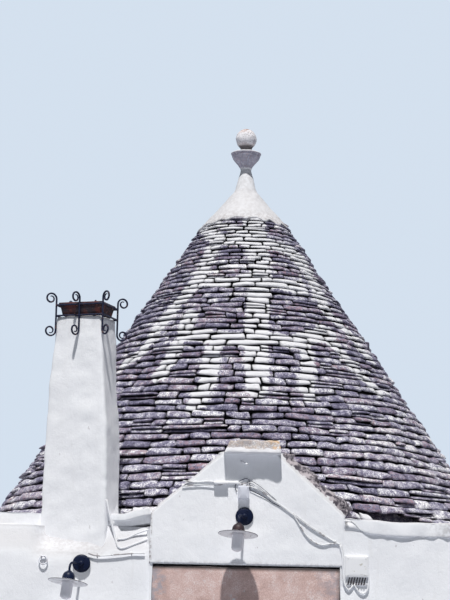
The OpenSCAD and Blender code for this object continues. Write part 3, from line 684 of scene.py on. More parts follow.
RUST = (0.17, 0.07, 0.035)
iron = finish("iron", speckled((0.006, 0.009, 0.032), (0.018, 0.022, 0.050), 18, 0.4, 0.7, third=RUST),
              (0.40, 0.60), 90, 0.0012, Specular_IOR_Level=0.25)
lamp_iron = finish("lamp_iron", speckled((0.002, 0.006, 0.026), (0.006, 0.010, 0.032), 12, 0.4, 0.7),
                   (0.32, 0.48), 60, 0.0006, Specular_IOR_Level=0.15)
rusty_iron = finish("rusty_iron", speckled((0.012, 0.007, 0.012), (0.038, 0.015, 0.017), 20, 0.4, 0.7),
                    (0.40, 0.60), 70, 0.0008, Specular_IOR_Level=0.3)
lamp_shade = finish("lamp_shade", speckled((0.80, 0.79, 0.81), (0.52, 0.50, 0.53), 14, 0.45, 0.75, 0.7,
                                           third=(0.30, 0.27, 0.27)), (0.30, 0.50), 50, 0.0006)
lamp_glass = finish("lamp_glass", speckled((0.95, 0.94, 0.98), (0.80, 0.79, 0.85), 10, 0.4, 0.7, 0.6, 0.4),
                    (0.40, 0.60), 80, 0.0005, Transmission_Weight=0.15, IOR=1.45)
terracotta = finish("terracotta", speckled((0.11, 0.030, 0.026), (0.020, 0.014, 0.022), 11, 0.38, 0.58,
                                           third=(0.22, 0.12, 0.10)), (0.75, 0.95), 50, 0.002)
soil_look = finish("soil", speckled((0.095, 0.065, 0.045), (0.045, 0.032, 0.025), 40, 0.4, 0.6,
                                    third=(0.20, 0.15, 0.11)), (0.9, 1.0), 60, 0.010)
door_wood = finish("door_wood", speckled((0.155, 0.075, 0.040), (0.30, 0.165, 0.090), 70, 0.35, 0.7,
                                         stretch=0.05), (0.5, 0.7), 90, 0.0015, stretch=0.04, pits=0.2)
box_plastic = finish("box_plastic", speckled((0.86, 0.865, 0.89), (0.74, 0.73, 0.72), 8, 0.45, 0.8, 0.5,
                                             third=(0.60, 0.58, 0.54)), (0.45, 0.65), 60, 0.0004)
aged_plastic = finish("aged_plastic", speckled((0.66, 0.68, 0.76), (0.52, 0.52, 0.58), 8, 0.45, 0.8, 0.5),
                      (0.45, 0.65), 60, 0.0004)
cable_jacket = finish("cable_jacket", speckled((0.74, 0.75, 0.77), (0.34, 0.32, 0.33), 11, 0.50, 0.60),
                      (0.6, 0.85), 70, 0.001)
ring_iron = finish("ring_iron", speckled((0.80, 0.82, 0.88), (0.46, 0.43, 0.46), 40, 0.45, 0.6, third=RUST),
                   (0.6, 0.85), 80, 0.001)


def ball_colour(tree):
    """Lime over stone: white, speckled dark, with rusty lichen and a painted shade under the ball where the
    piece asks for them.
    """
    colour = mixed_colour(tree, patches(tree, 26, 0.45, 0.70), (0.90, 0.89, 0.93), (0.72, 0.70, 0.74))
    colour = mixed_colour(tree, patches(tree, 60, 0.60, 0.66, seed=3), colour, (0.20, 0.17, 0.17))
    lichen = sums(tree, "MULTIPLY", patches(tree, 22, 0.35, 0.55, seed=5), own_value(tree, "stain"))
    colour = mixed_colour(tree, lichen, colour, (0.40, 0.20, 0.13))
    return mixed_colour(tree, own_value(tree, "deep"), colour, (0.05, 0.045, 0.05))


ball_wash = finish("ball_wash", ball_colour, (0.8, 0.95), 70, 0.006, pits=0.8)
print(len(bpy.data.materials), "materials")

# %% [markdown]
# ## The painted sign
# A traditional sign is brushed on the cone in lime: an upright, an arch over two bars, and side strokes
# that fan out into legs. Its strokes were followed in the photograph, so they are pixel points here. Each
# point is thrown onto the cone along its line of sight, and every stone then knows how far it lies inside
# or outside a stroke.

# %% Strokes of the sign
SIGN = {
    "upright": (17, [(254, 222), (258, 255), (260, 271), (258, 305), (256, 341), (257, 388)]),
    "arch": (13, [(206, 229), (218, 241), (250, 243), (270, 245), (290, 251), (302, 259)]),
    "upper_bar": (12, [(202, 283), (234, 283), (250, 279), (278, 285), (302, 291)]),
    "lower_bar": (13, [(190, 335), (222, 339), (246, 341), (276, 339), (290, 343), (306, 339), (330, 333)]),
    "left_side": (12, [(218, 241), (206, 265), (200, 279), (190, 291), (180, 303)]),
    "left_leg_outer": (12, [(180, 303), (166, 321), (154, 337), (140, 355), (126, 365)]),
    "left_leg_middle": (12, [(190, 317), (184, 335), (174, 355), (166, 367), (160, 377)]),
    "left_leg_inner": (13, [(214, 349), (212, 361), (208, 381), (201, 397), (194, 407)]),
    "right_side": (14, [(290, 251), (306, 269), (314, 283), (324, 305), (330, 315)]),
    "right_leg_outer": (12, [(330, 315), (346, 329), (356, 343), (370, 359)]),
    "right_leg_middle": (12, [(324, 329), (332, 343), (342, 353), (356, 369), (368, 381), (377, 391)]),
    "right_leg_inner": (11, [(306, 349), (308, 365), (306, 385), (310, 397)]),
    "left_of_the_cap": (9, [(207, 224), (222, 227), (240, 232)]),
}
PIXEL = 0.0094
WIDER = 1.42
PAINT_EDGE = 0.026


def paint_cover(points, strokes):
    """How well lime covers each point: 0.5 on a stroke's edge, and up to 1 or down to 0 over PAINT_EDGE
    inside or outside it. The distance is to the nearest straight stretch of any stroke."""
    cover = np.full(len(points), -1.0)
    for width, route in strokes.values():
        route = on_cone(route)
        for a, b in zip(route, route[1:]):
            along = np.clip((points - a) @ (b - a) / ((b - a) @ (b - a)), 0, 1)
            away = np.linalg.norm(points - a - along[:, None] * (b - a), axis=1)
            cover = np.maximum(cover, (width * WIDER * PIXEL / 2 - away) / (2 * PAINT_EDGE))
    return np.clip(0.5 + cover, 0, 1)


print(len(SIGN), "strokes")

# %% [markdown]
# ## The roof's slabs
# The cone is laid dry, course on course, from flat limestone slabs with hammered noses. Each slab is a
# small skin that runs along its course: a rounded nose of eight points and a hidden back of two, on eight
# outlines. Its lower lip hangs back, its ends are rounded, and noise makes it lumpy, so the dark joints are
# real gaps. All slabs of a third of the roof are worked out at once, as one array.

# %% Where every slab lies
NOSE_OUT = 0.008
SLAB_DEPTH = 0.15
LONGEST, SHORTEST = 0.34, 0.17
THIN_SHARE = (0.14, 0.05)
draws = np.random.default_rng(7)


def slab_places(first, last):
    """For each slab: the two angles between which it lies, its lower and upper height and its radius.
    Lengths are drawn round a mean that shrinks up the cone, and a few slabs become two thin ones."""
    rows = []
    for i in range(first, last):
        radius = cone_radius((levels[i] + levels[i + 1]) / 2) + NOSE_OUT
        length = LONGEST + (SHORTEST - LONGEST) * i / COURSES
        count = int(round(2 * np.pi * radius / length))
        share = np.clip(draws.gamma(6, 1 / 6, count), 0.40, 1.9)
        cuts = np.cumsum(share) / share.sum() * 2 * np.pi + draws.uniform(0, 2 * np.pi)
        ends = np.append(cuts[1:], cuts[0] + 2 * np.pi)
        thin = THIN_SHARE[0] + (THIN_SHARE[1] - THIN_SHARE[0]) * i / COURSES
        split = np.where(draws.uniform(size=count) < thin, draws.uniform(0.4, 0.6, count), 1)
        low, high = np.full(count, levels[i]), np.full(count, levels[i + 1])
        whole = np.stack([cuts, ends, low, low + split * (high - low), np.full(count, radius)], 1)
        rest = np.stack([cuts, ends, low + split * (high - low), high, np.full(count, radius)], 1)
        rows += [whole, rest[split < 1]]
    return np.concatenate(rows)


CHIMNEY_AT = (chimney_low + chimney_high)[:2] / 2
CHIMNEY_TURN = np.radians(-19)
RECESS_X = (1.135, 1.615)
GABLE_IN = (0.60, 0.57)
BEHIND = 0.03


def gable_sides(z):
    """X of the gable's left and right edge at a height: above the coping they run in by GABLE_IN."""
    rise = np.clip((z - COPING_TOP) / (gable_high[2] - COPING_TOP), 0, 1)
    return gable_low[0] + rise * GABLE_IN[0], gable_high[0] - rise * GABLE_IN[1]


def inside_gable(angle, z, radius):
    """True where a point of a slab lies behind the gable's plaster."""
    x, y = radius * np.cos(angle), radius * np.sin(angle)
    left, right = gable_sides(z)
    return (y < 0) & (z < gable_high[2] + 0.02) & (x > left + BEHIND) & (x < right - BEHIND)


def trimmed(places):
    """Leaves out the slabs that lie wholly inside the gable, and cuts the lowest at the open recess."""
    a0, a1, z0, z1, radius = places.T
    z = (z0 + z1) / 2
    hidden = np.all([inside_gable(a, z, radius) for a in (a0, (a0 + a1) / 2, a1)], 0)
    open_from, open_to = [2 * np.pi - np.arccos(x / FOOT_RADIUS) for x in RECESS_X]
    turned = np.stack([a0, a1]) - np.where((a0 + a1) / 2 > 2 * np.pi, 2 * np.pi, 0)
    lowest = z < levels[1]
    on_left = (turned[0] < open_from) & (turned[1] > open_from)
    on_right = (turned[0] < open_to) & (turned[1] > open_to) & ~on_left
    within = (turned[0] >= open_from) & (turned[1] <= open_to)
    turned[1] = np.where(lowest & on_left, open_from, turned[1])
    turned[0] = np.where(lowest & on_right, open_to, turned[0])
    short = lowest & (turned[1] - turned[0] < 0.02)
    return np.stack([*turned, z0, z1, radius], 1)[~hidden & ~(lowest & within) & ~short]


print("first course has", len(slab_places(0, 1)), "slabs")

# %% The slabs as skins
STATIONS = np.array([-1, -0.94, -0.70, -0.24, 0.24, 0.70, 0.94, 1])
NOSE = np.array([1, 0.92, 0.66, 0.22, -0.32, -0.74, -0.94, -1])
LIP_OUT = 0.012
TOP_ROUND, LIP_ROUND, END_ROUND = 0.036, 0.048, 0.034
COURSE_WAVE = 0.020


def slab_rings(places):
    """Outlines of all slabs, as (slabs, stations, points, 3). Along a slab w runs from -1 to 1, and on
    its nose t falls from 1 to -1. The nose follows the cone's slope and hangs out towards its lower lip.
    Less what t and w round off, plus noise, that is the radius. Part of the noise is each slab's own."""
    a0, a1, z0, z1, radius = [column[:, None, None] for column in places.T]
    count = len(places)

    def random(spread):
        return draws.uniform(-spread, spread, (count, 1, 1))

    w, t = STATIONS[None, :, None], NOSE[None, None, :]
    gap = draws.uniform(0.001, 0.010, (count, 1, 1)) / radius
    half_height = (z1 - z0) / 2 * (0.84 - 0.07 * (z0 - COPING_TOP) / (CONE_TOP - COPING_TOP) + random(0.10))
    taper = 1 - 0.30 * round_off(w, 5) + random(0.22) * w
    height = half_height * np.concatenate([t, [[[-0.8, 0.8]]]], 2) * taper
    skew = random(0.35) * height / radius
    angle = (a0 + a1) / 2 + ((a1 - a0) / 2 - gap) * w + skew
    nose = -TAPER * height[..., :len(NOSE)] + LIP_OUT * (1 - t) / 2 * (1 + random(0.6))
    nose = nose - TOP_ROUND * round_off(np.maximum(t, 0), 3) - LIP_ROUND * round_off(np.minimum(t, 0), 4)
    nose = nose - END_ROUND * round_off(w, 6) + random(0.009) * w + random(0.009)
    back = np.full((count, len(STATIONS), 2), -SLAB_DEPTH)
    reach = radius + np.concatenate([nose, back], 2)
    z = (z0 + z1) / 2 + height + random(0.003) + random(0.004) * w
    points = around_axis(reach, angle, z)
    own = points + draws.uniform(0, 50, (count, 1, 1, 3))
    wave = COURSE_WAVE * lumps(points * [1, 1, 2], 0.95, 21) + 0.009 * lumps(points * [1, 1, 3], 0.34, 26)
    reach = reach + 0.008 * lumps(own, 0.10, 22) + 0.007 * lumps(own, 0.045, 23)
    z = z + wave + (0.010 * lumps(own, 0.11, 24) + 0.006 * lumps(own, 0.045, 25)) * (z1 - z0) / 0.075
    return around_axis(reach, angle, z)


SLAB_POINTS = len(STATIONS) * (len(NOSE) + 2) + 2
print("each slab has", SLAB_POINTS, "points")

# %% The roof in three parts
def gable_splash(points):
    """Lime splashed on the slabs beside the gable: more on its left slope than on its right."""
    left, right = gable_sides(points[:, 2])
    near = np.maximum(0.66 - np.abs(left - points[:, 0]) / 0.26, 0.30 - np.abs(points[:, 0] - right) / 0.30)
    return np.where((points[:, 1] < 0) & (points[:, 2] < gable_high[2] + 0.05), np.clip(near, 0, 1), 0)


def lay_roof(name, first, last, node):
    """One third of the roof: its slabs, with their tone, stain, lime and painted shade in the joints."""
    places = trimmed(slab_places(first, last))
    points, quads, fans = skin(slab_rings(places))
    share = (places[:, 2] - COPING_TOP) / (CONE_TOP - COPING_TOP)
    tone = draws.normal(0.01, 0.10, len(places)) - 0.05 * ease(share, 0.15, 0.40)
    limed = draws.uniform(size=len(places)) < 0.01 + 0.09 * ease(share, 0.25, 0.75)
    tone = tone + np.where(limed, 0.28, 0)
    tone = tone + 0.09 * ease(np.cos(places[:, :2].mean(1)), 0.30, 0.75) * (1 - share)
    stain = np.clip(draws.normal(0.10, 0.35, len(places)), 0, 1)
    behind = cone_radius(points[:, 2]) + NOSE_OUT - np.hypot(points[:, 0], points[:, 1])
    up = np.repeat(share, SLAB_POINTS)
    # A painted shade: the further a point lies back behind the noses, the darker and the less limed.
    deep = ease(behind, 0.022 - 0.010 * up, 0.052 - 0.022 * up)
    wash = np.maximum(paint_cover(settled(points), SIGN), gable_splash(points))
    at_foot = (points[:, 1] < 0) & np.repeat(places[:, 2] < levels[1] - 0.01, SLAB_POINTS)
    wash = np.where(at_foot & (points[:, 0] > 0.97) & (points[:, 0] < RECESS_X[0] + 0.02), 0.9, wash)
    wash = np.where(at_foot & (points[:, 0] > -1.30) & (points[:, 0] < -0.80), 0.55, wash)
    piece(name, (settled(points), quads, fans), roof_stone, "roof_stone", [node],
          tone=np.repeat(tone, SLAB_POINTS), stain=np.repeat(stain, SLAB_POINTS), deep=deep,
          wash=wash * (1 - 0.45 * deep))
    print(len(places), "slabs")


for third, first, last in (("lower", 0, 15), ("middle", 15, 32), ("upper", 32, COURSES)):
    lay_roof("roof_slabs_" + third, first, last, "roof_" + third)

# %% [markdown]
# Behind the slabs lies the fill of earth and small stone between them and the vault. It is one turned
# shape that follows the backs of the slabs on the outside and the vault on the inside, so no light comes
# through a joint. Above the coping it is darkened almost to black, a painted shade for what lies behind the
# joints.

# %% The fill behind the slabs
VAULT_FOOT = 2.08
VAULT_BULGE = 0.17
BACKING = 0.105
CLOSING = np.array(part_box("closing_slab")[1])
heights = np.linspace(COPING_TOP, CONE_TOP - 0.02, 14)
inner = np.linspace(0, 1, 8)
vault_side = VAULT_FOOT + (CLOSING[0] - VAULT_FOOT) * inner + 4 * VAULT_BULGE * inner * (1 - inner)
profile = np.concatenate([
    [[CLOSING[0] * 0.5, CLOSING[2] + 0.01]],
    np.stack([vault_side[::-1], WALL_TOP + (CLOSING[2] - WALL_TOP) * inner[::-1]], 1),
    [[FOOTING_RADIUS - 0.004, WALL_TOP], [FOOTING_RADIUS, WALL_TOP + 0.02], [FOOTING_RADIUS, COPING_TOP]],
    np.stack([cone_radius(heights) - BACKING, heights], 1), [[0.06, CONE_TOP - 0.01]]])
fill_shape = skin(settled(turned_rings(profile, 96)))
# Painted shade: above the coping the fill is darkened almost to black.
fill_painted_shade = ease(fill_shape[0][:, 2], COPING_TOP + 0.005, COPING_TOP + 0.03) * 0.95
piece("roof_fill", fill_shape, roof_stone, "roof_stone", ["roof_lower", "roof_middle", "roof_upper"],
      deep=fill_painted_shade, stain=0.3)

# %% [markdown]
# ## Cap, cup and ball
# The tip of the cone is smoothed over with mortar and lime, and its edge runs unevenly over the highest
# slabs. On it stand a hollow-sided stone cup and a rough ball. All three are turned shapes, and noise
# takes away the look of the lathe.

# %% Cap
cap_high = np.array(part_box("apex_cap")[1])
cup_low, cup_high = corner_pair(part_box("finial_cup"))
ball_low, ball_high = corner_pair(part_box("finial_ball"))
CAP_FOOT = float(cap_high[0])
CAP_TOP_RADIUS = 0.050
NECK_Z = float(cap_high[2]) - 0.238
NECK_RADIUS = 0.108
BLEND = 0.010
CAP_LAP = 0.060
OVER_STONES = 0.026

height = np.linspace(CONE_TOP + 0.01, cap_high[2] + 0.012, 32)
flare = CAP_FOOT + (NECK_RADIUS - CAP_FOOT) * (height - CONE_TOP) / (NECK_Z - CONE_TOP)
neck = NECK_RADIUS + (CAP_TOP_RADIUS - NECK_RADIUS) * (height - NECK_Z) / (cap_high[2] - NECK_Z)
cap_radius = BLEND * np.logaddexp(flare / BLEND, neck / BLEND)
skirt = CONE_TOP - np.array([0.046, 0.050, 0.046, 0.030, 0.010])
skirt_radius = cone_radius(skirt) + [-0.05, 0.004, OVER_STONES, OVER_STONES + 0.002, OVER_STONES - 0.006]
under = np.array([[0.12, CONE_TOP - 0.030], [0.28, CONE_TOP - 0.040]])
closing = np.array([[CAP_TOP_RADIUS * 0.8, cap_high[2] + 0.018]])
profile = np.concatenate([under, np.stack([skirt_radius, skirt], 1), np.stack([cap_radius, height], 1),
                          closing])
cap_rings = roughened(turned_rings(profile, 96), (0.008, 0.16), (0.004, 0.06), (0.002, 0.028), seed=31)
at_edge = 1 - ease(cap_rings[..., 2], CONE_TOP - 0.03, CONE_TOP + 0.08)
drip = at_edge * CAP_LAP * lumps(cap_rings * [1, 1, 0], 0.12, 33)
cap_rings[..., 2] -= drip
cap_rings[..., :2] *= 1 + (TAPER * drip / cap_radius[0])[..., None]
cap_shape = skin(settled(cap_rings))
# A painted shade in patches over the whole sunlit cap, and darker towards its lower edge over the slabs.
grime = 0.22 + 0.5 * (1 - ease(cap_shape[0][:, 2], CONE_TOP - 0.03, CONE_TOP + 0.12))
piece("apex_cap_limed", cap_shape, whitewash, "whitewash", ["apex_cap"], grime=grime)

# %% Cup and ball
RIM = float(cup_high[0])
RIM_THICK = 0.024
CUP_FOOT = 0.058
rise = np.linspace(0, 1, 14)
cup_radius = CUP_FOOT + (RIM - 0.006 - CUP_FOOT) * (0.70 * ease(rise, 0.02, 0.88) + 0.30 * rise)
cup_height = cup_low[2] + (cup_high[2] - RIM_THICK - cup_low[2]) * rise
lip = np.radians(np.linspace(-60, 80, 6))
rim = np.stack([RIM - 0.010 + 0.012 * np.cos(lip), cup_high[2] + RIM_THICK / 2 * (np.sin(lip) - 1)], 1)
top = np.array([[RIM * 0.7, cup_high[2] + 0.003], [RIM * 0.35, cup_high[2] + 0.006]])
profile = np.concatenate([np.stack([cup_radius, cup_height], 1), rim, top])
cup_rings = roughened(turned_rings(profile, 56), (0.003, 0.07), (0.0015, 0.03), seed=41)
cup_shape = skin(settled(cup_rings))
cup_z = cup_shape[0][:, 2]
limed = np.maximum(ease(cup_z, cup_high[2] - 0.016, cup_high[2] - 0.004),
                   1 - ease(cup_z, cup_low[2], cup_low[2] + 0.03))
piece("finial_cup_stone", cup_shape, cup_stone, "slab_stone", ["finial_cup"], wash=limed, stain=0.5)

BALL = float(ball_high[0])
BALL_Z = float(ball_high[2]) - BALL
polar = np.radians(np.linspace(-57, 86, 26))
neck = np.array([[0.050, ball_low[2] - 0.004], [0.054, ball_low[2] + 0.012], [0.056, ball_low[2] + 0.022]])
profile = np.concatenate([neck, np.stack([BALL * np.cos(polar), BALL_Z + BALL * np.sin(polar)], 1)])
ball_rings = roughened(turned_rings(profile, 48), (0.005, 0.06), (0.003, 0.028), seed=51)
ball_shape = skin(settled(ball_rings))
side, ball_z = ball_shape[0][:, 0], ball_shape[0][:, 2]
rusty = np.maximum(ease(ball_z - BALL_Z, 0.035, 0.095) * ease(-side, -0.09, 0.02),
                   0.35 * ease(BALL_Z - ball_z, 0.02, 0.09))
# Painted shade under the ball, where it narrows to its neck.
under_ball_painted_shade = 0.9 * ease(BALL_Z - ball_z, 0.062, 0.088) * ease(ball_z, ball_low[2] + 0.008, ball_low[2] + 0.02)
piece("finial_ball_limed", ball_shape, ball_wash, "whitewash", ["finial_ball"], stain=rusty, deep=under_ball_painted_shade)

# %% [markdown]
# ## The walls
# The walls of the room are one skin. In plan they are a pair of paths, the outer faces and the inner
# faces, from one side of the doorway round the house to the other. The pair is carried up in level rows.
# At the top of the front's left part the outer path leans back into a sloped bank. Long soft lumps and
# short ones make it a wall of rubble under many coats of lime.

# %% Paths of the walls
PASSAGE = 0.655
passage_left, passage_right = PORTAL_X - PASSAGE, PORTAL_X + PASSAGE
left_jamb, right_jamb = float(lintel_low[0]), float(lintel_high[0])
left_edge, right_edge = float(gable_low[0]), float(gable_high[0])
CHIMNEY_FOOT_Z = float(chimney_low[2])
FOOT_HALF = np.array([0.316, 0.165])
face_out = np.array([np.sin(CHIMNEY_TURN), -np.cos(CHIMNEY_TURN)])
face_along = np.array([np.cos(CHIMNEY_TURN), np.sin(CHIMNEY_TURN)])
face_middle = CHIMNEY_AT + FOOT_HALF[1] * face_out
face_left, face_right = face_middle - FOOT_HALF[0] * face_along, face_middle + FOOT_HALF[0] * face_along
beside = right_edge - 0.03
outer_path = [(right_jamb, REVEAL), (right_jamb, FACE), (beside, FACE), (beside, RIGHT_FRONT),
              (HALF_WIDTH, RIGHT_FRONT), (HALF_WIDTH, BACK), (-HALF_WIDTH, BACK), (-HALF_WIDTH, LEFT_FRONT),
              (face_left[0], LEFT_FRONT), (face_right[0], LEFT_FRONT), (left_edge, LEFT_FRONT),
              (left_edge, FACE), (left_jamb, FACE), (left_jamb, REVEAL)]
inner_path = [(passage_right, REVEAL), (passage_right, -2.3), (passage_right, -2.0), (passage_right, -ROOM),
              (ROOM, -ROOM), (ROOM, ROOM), (-ROOM, ROOM), (-ROOM, -ROOM), (-1.4, -ROOM), (-1.0, -ROOM),
              (passage_left, -ROOM), (passage_left, -2.0), (passage_left, -2.3), (passage_left, REVEAL)]
COUNTS = [6, 2, 2, 55, 80, 80, 80, 27, 17, 12, 2, 2, 6]
ROW = 0.05
BULGE, BULGE_RUN = 0.016, 0.6


def before_chimney(x, wider=0.0):
    """1 where the chimney's turned face stands over the wall, easing to 0 at both of its corners."""
    left = ease(x, face_left[0] - 0.06 - wider, face_left[0] + 0.10 - wider)
    return left * (1 - ease(x, face_right[0] - 0.03, face_right[0] + 0.02))


def bulge(x):
    """How far the wall right of the gable bulges out to meet it: BULGE there, easing to 0 over BULGE_RUN."""
    return BULGE * (1 - ease(x, right_edge, right_edge + BULGE_RUN))


def stepped(path):
    """A path through corners, with the same number of steps on each stretch for both faces."""
    legs = [np.linspace(a, b, n, endpoint=False) for a, b, n in zip(path, path[1:], COUNTS)]
    return np.concatenate(legs + [[path[-1]]])


outer, inner = stepped(outer_path), stepped(inner_path)
print("each face of the walls has", len(outer), "points in plan")

# %% Walls
rows = np.concatenate([np.linspace(0, CHIMNEY_FOOT_Z - 0.012, int(CHIMNEY_FOOT_Z / ROW) + 1),
                       np.linspace(CHIMNEY_FOOT_Z + 0.012, WALL_TOP, 10)])
plan = np.concatenate([outer, inner[::-1]])
wall_rings = at_heights(np.broadcast_to(plan, (len(rows), *plan.shape)), rows)
on_bank = (np.arange(len(plan)) < len(outer)) & (plan[:, 1] < LEFT_FRONT + 0.001) & (plan[:, 0] < left_edge)
lean = ease(wall_rings[..., 2], WALL_TOP - BANK_RISE - 0.02, WALL_TOP) * 0.5
lean += 0.5 * np.clip((wall_rings[..., 2] - WALL_TOP + BANK_RISE) / BANK_RISE, 0, 1)
wall_rings[..., 1] += BANK_DEPTH * lean * on_bank
in_front = on_bank * before_chimney(plan[:, 0])
in_front = in_front * ease(wall_rings[..., 2], CHIMNEY_FOOT_Z - 0.06, CHIMNEY_FOOT_Z + 0.19)
behind_face = face_left[1] + (plan[:, 0] - face_left[0]) * face_along[1] / face_along[0] + 0.035
wall_rings[..., 1] += (behind_face - wall_rings[..., 1]) * in_front
on_right = (np.arange(len(plan)) < len(outer)) & (np.abs(plan[:, 1] - RIGHT_FRONT) < 0.001)
wall_rings[..., 1] -= on_right * bulge(plan[:, 0])
wall_normal = outward(wall_rings)
wall_rings += wall_normal * (0.007 * lumps(wall_rings, 0.45, 61) + 0.004 * lumps(wall_rings, 0.16, 62)
                             + 0.0015 * lumps(wall_rings, 0.06, 63))[..., None]
wall_rings[..., 2] = rows[:, None]
wall_points, wall_quads, _ = skin(wall_rings)
n, m = len(outer), len(plan)
i = np.arange(n - 1)
strip = np.stack([i, i + 1, m - 2 - i, m - 1 - i], 1)
wall_quads = np.concatenate([wall_quads, strip[:, ::-1], strip + (len(rows) - 1) * m])
wall_shape = (wall_points[:-2], wall_quads, np.zeros((0, 3), int))
px, py, pz = wall_shape[0].T
foot = 0.35 * (1 - ease(pz, 0.0, 0.5))
# On the bank before the chimney's foot, a painted shade with dust keeps the sunlit slope under full white.
bank_dust_and_painted_shade = 0.30 * before_chimney(px) * ease(pz, CHIMNEY_FOOT_Z - 0.06, CHIMNEY_FOOT_Z + 0.02) * (py < -2.4)
walls = piece("house_walls", wall_shape, whitewash, "whitewash",
              ["front_wall_left", "front_wall_right", "left_wall", "right_wall", "back_wall"],
              grime=foot + bank_dust_and_painted_shade)


def softened(made, width, segments=3):
    """Rounds the sharp edges of a piece with a Bevel modifier."""
    bevel = made.modifiers.new("soft_edges", "BEVEL")
    bevel.width = width
    bevel.segments = segments
    bevel.limit_method = "ANGLE"
    bevel.angle_limit = np.radians(50)
    return made


softened(walls, 0.018)

# %% [markdown]
# ## The gable over the door
# The plaster over the lintel rises into a gable. It is carried up in level rows, each a rounded outline in
# plan. Above the coping its sides slope in, and its back is wider than its front, because rough mortar
# fills the corner up to the roof's slabs. The value mortar tells the material where that filling shows.

# %% Gable
SLAB_LOW, SLAB_HIGH = corner_pair(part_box("gable_slab"))
GABLE_TOP_X, GABLE_TOP_HALF = 0.030, 0.238
top_left, top_right = GABLE_TOP_X - GABLE_TOP_HALF, GABLE_TOP_X + GABLE_TOP_HALF
PROUD = 0.006
FILL_LEFT, FILL_RIGHT = 0.040, 0.190
gable_rows = np.arange(lintel_high[2] + 0.006, gable_high[2] + 0.02, 0.018)
share = np.clip((gable_rows - COPING_TOP) / (gable_high[2] - COPING_TOP), 0, 1)
left_side = left_edge + (top_left - left_edge) * share
right_side = right_edge + (top_right - right_edge) * share
core, out = round_outline(84, 16, 3)
EDGE = 0.022
half = (right_side - left_side) / 2 - EDGE
depth = (gable_high[1] - FACE + PROUD) / 2 - EDGE
x = (left_side + right_side)[:, None] / 2 + half[:, None] * core[:, 0] + EDGE * out[:, 0]
y = (FACE - PROUD + gable_high[1]) / 2 + depth * core[:, 1] + EDGE * out[:, 1] + 0 * x
gable_rings = np.stack([x, y, gable_rows[:, None] + 0 * x], -1)
back_share = ease(y, FACE + 0.010, FACE + 0.10)
sloping = ease(gable_rows, COPING_TOP - 0.02, COPING_TOP + 0.10)[:, None]
side = np.sign(core[:, 0]) * (np.abs(core[:, 0]) > 0.5) + 0 * x
uneven = 0.7 + 0.40 * lumps(gable_rings, 0.13, 71) + 0.30 * lumps(gable_rings, 0.05, 72)
grow = np.where(side < 0, FILL_LEFT, FILL_RIGHT) * back_share * sloping * uneven
gable_rings[..., 0] += side * grow
at_corner = np.abs(out[:, 0]) > 0.3
ragged = 0.012 * lumps(gable_rings, 0.09, 73) + 0.006 * lumps(gable_rings, 0.035, 74)
gable_rings[..., 0] += side * at_corner * sloping * ragged
gable_rings = roughened(gable_rings, (0.005, 0.30), (0.003, 0.11), (0.0012, 0.045), seed=75)
gable_rings[..., 2] = gable_rows[:, None]
gable_shape = skin(gable_rings)
gx, gy, gz = gable_shape[0].T
mortar = ease(gy, FACE + 0.008, FACE + 0.05) * ease(gz, COPING_TOP - 0.02, COPING_TOP + 0.06)
mortar *= np.where(gx > 0, 0.95, 0.35)
# Darker along the lowest rows over the lintel, and a dark line down the gable's left front edge.
lowest = 1 - ease(gz, lintel_high[2] + 0.01, lintel_high[2] + 0.05)
corner = ease(-gx, 0.785, 0.802) * ease(-gy, 2.72, 2.76)
piece("gable_plaster", gable_shape, whitewash, "whitewash", ["gable", "portal_wall"],
      mortar=mortar, grime=np.clip(0.35 * lowest + 0.95 * corner, 0, 1))

# %% [markdown]
# ## Slab, lintel, jambs and step
# The slab on the gable is rough limestone with lime along its lower edge and orange lichen on the right.
# The lintel is bare pinkish stone: grey at the ends and flecked with lime, with a painted shadow of the
# plaster's edge along its top and its right end.
# The jambs are stacked ashlar of the same stone. All are round-edged blocks that noise makes uneven.

# %% Slab on the gable
top_slab = block_rings(SLAB_LOW, SLAB_HIGH, 0.014, 0.022, axis=0)
along = (top_slab[..., 0] - SLAB_LOW[0]) / (SLAB_HIGH[0] - SLAB_LOW[0])
upper = (top_slab[..., 2] - SLAB_LOW[2]) / (SLAB_HIGH[2] - SLAB_LOW[2])
top_slab[..., 0] += 0.055 * upper * (1 - along) ** 2 - 0.010 * upper * along
top_slab[..., 1] += 0.030 * upper * ease(-top_slab[..., 1], 2.7, 2.9)
rim = ease(-top_slab[..., 2], -SLAB_LOW[2] - 0.055, -SLAB_LOW[2] - 0.030)
rim = rim * ease(-top_slab[..., 1], 2.7, 2.88)
top_slab[..., 1] -= rim * (0.010 + 0.010 * lumps(top_slab, 0.07, 84))
top_slab = roughened(top_slab, (0.010, 0.11), (0.006, 0.05), (0.003, 0.022), seed=81)
slab_shape = skin(top_slab)
sx, sy, sz = slab_shape[0].T
limed_to = SLAB_LOW[2] + 0.040 + 0.012 * lumps(slab_shape[0], 0.06, 83)
lime = (1 - ease(sz, limed_to - 0.006, limed_to + 0.006)) * (sy < FACE + 0.2)
lichen = 0.25 + 0.75 * ease(sx, 0.14, 0.24) * ease(sz, SLAB_LOW[2] + 0.02, SLAB_LOW[2] + 0.06)
piece("gable_slab_stone", slab_shape, slab_stone, "slab_stone", ["gable_slab"], wash=lime, stain=lichen * 0.9,
      tone=0.12 * lumps(slab_shape[0], 0.12, 82))

# %% Lintel, jambs and step
lintel_rings = block_rings(lintel_low - [0.002, 0.001, 0], lintel_high - [0, 0, 0.009], 0.012, 0.03, axis=0)
lintel_rings = roughened(lintel_rings, (0.004, 0.18), (0.0025, 0.06), (0.001, 0.03), seed=91)
lintel_shape = skin(lintel_rings)
lx, lz = lintel_shape[0][:, 0], lintel_shape[0][:, 2]
thick = 0.022 + 0.018 * ease(-lx, 0.45, 0.75) + 0.008 * lumps(lintel_shape[0], 0.06, 92)
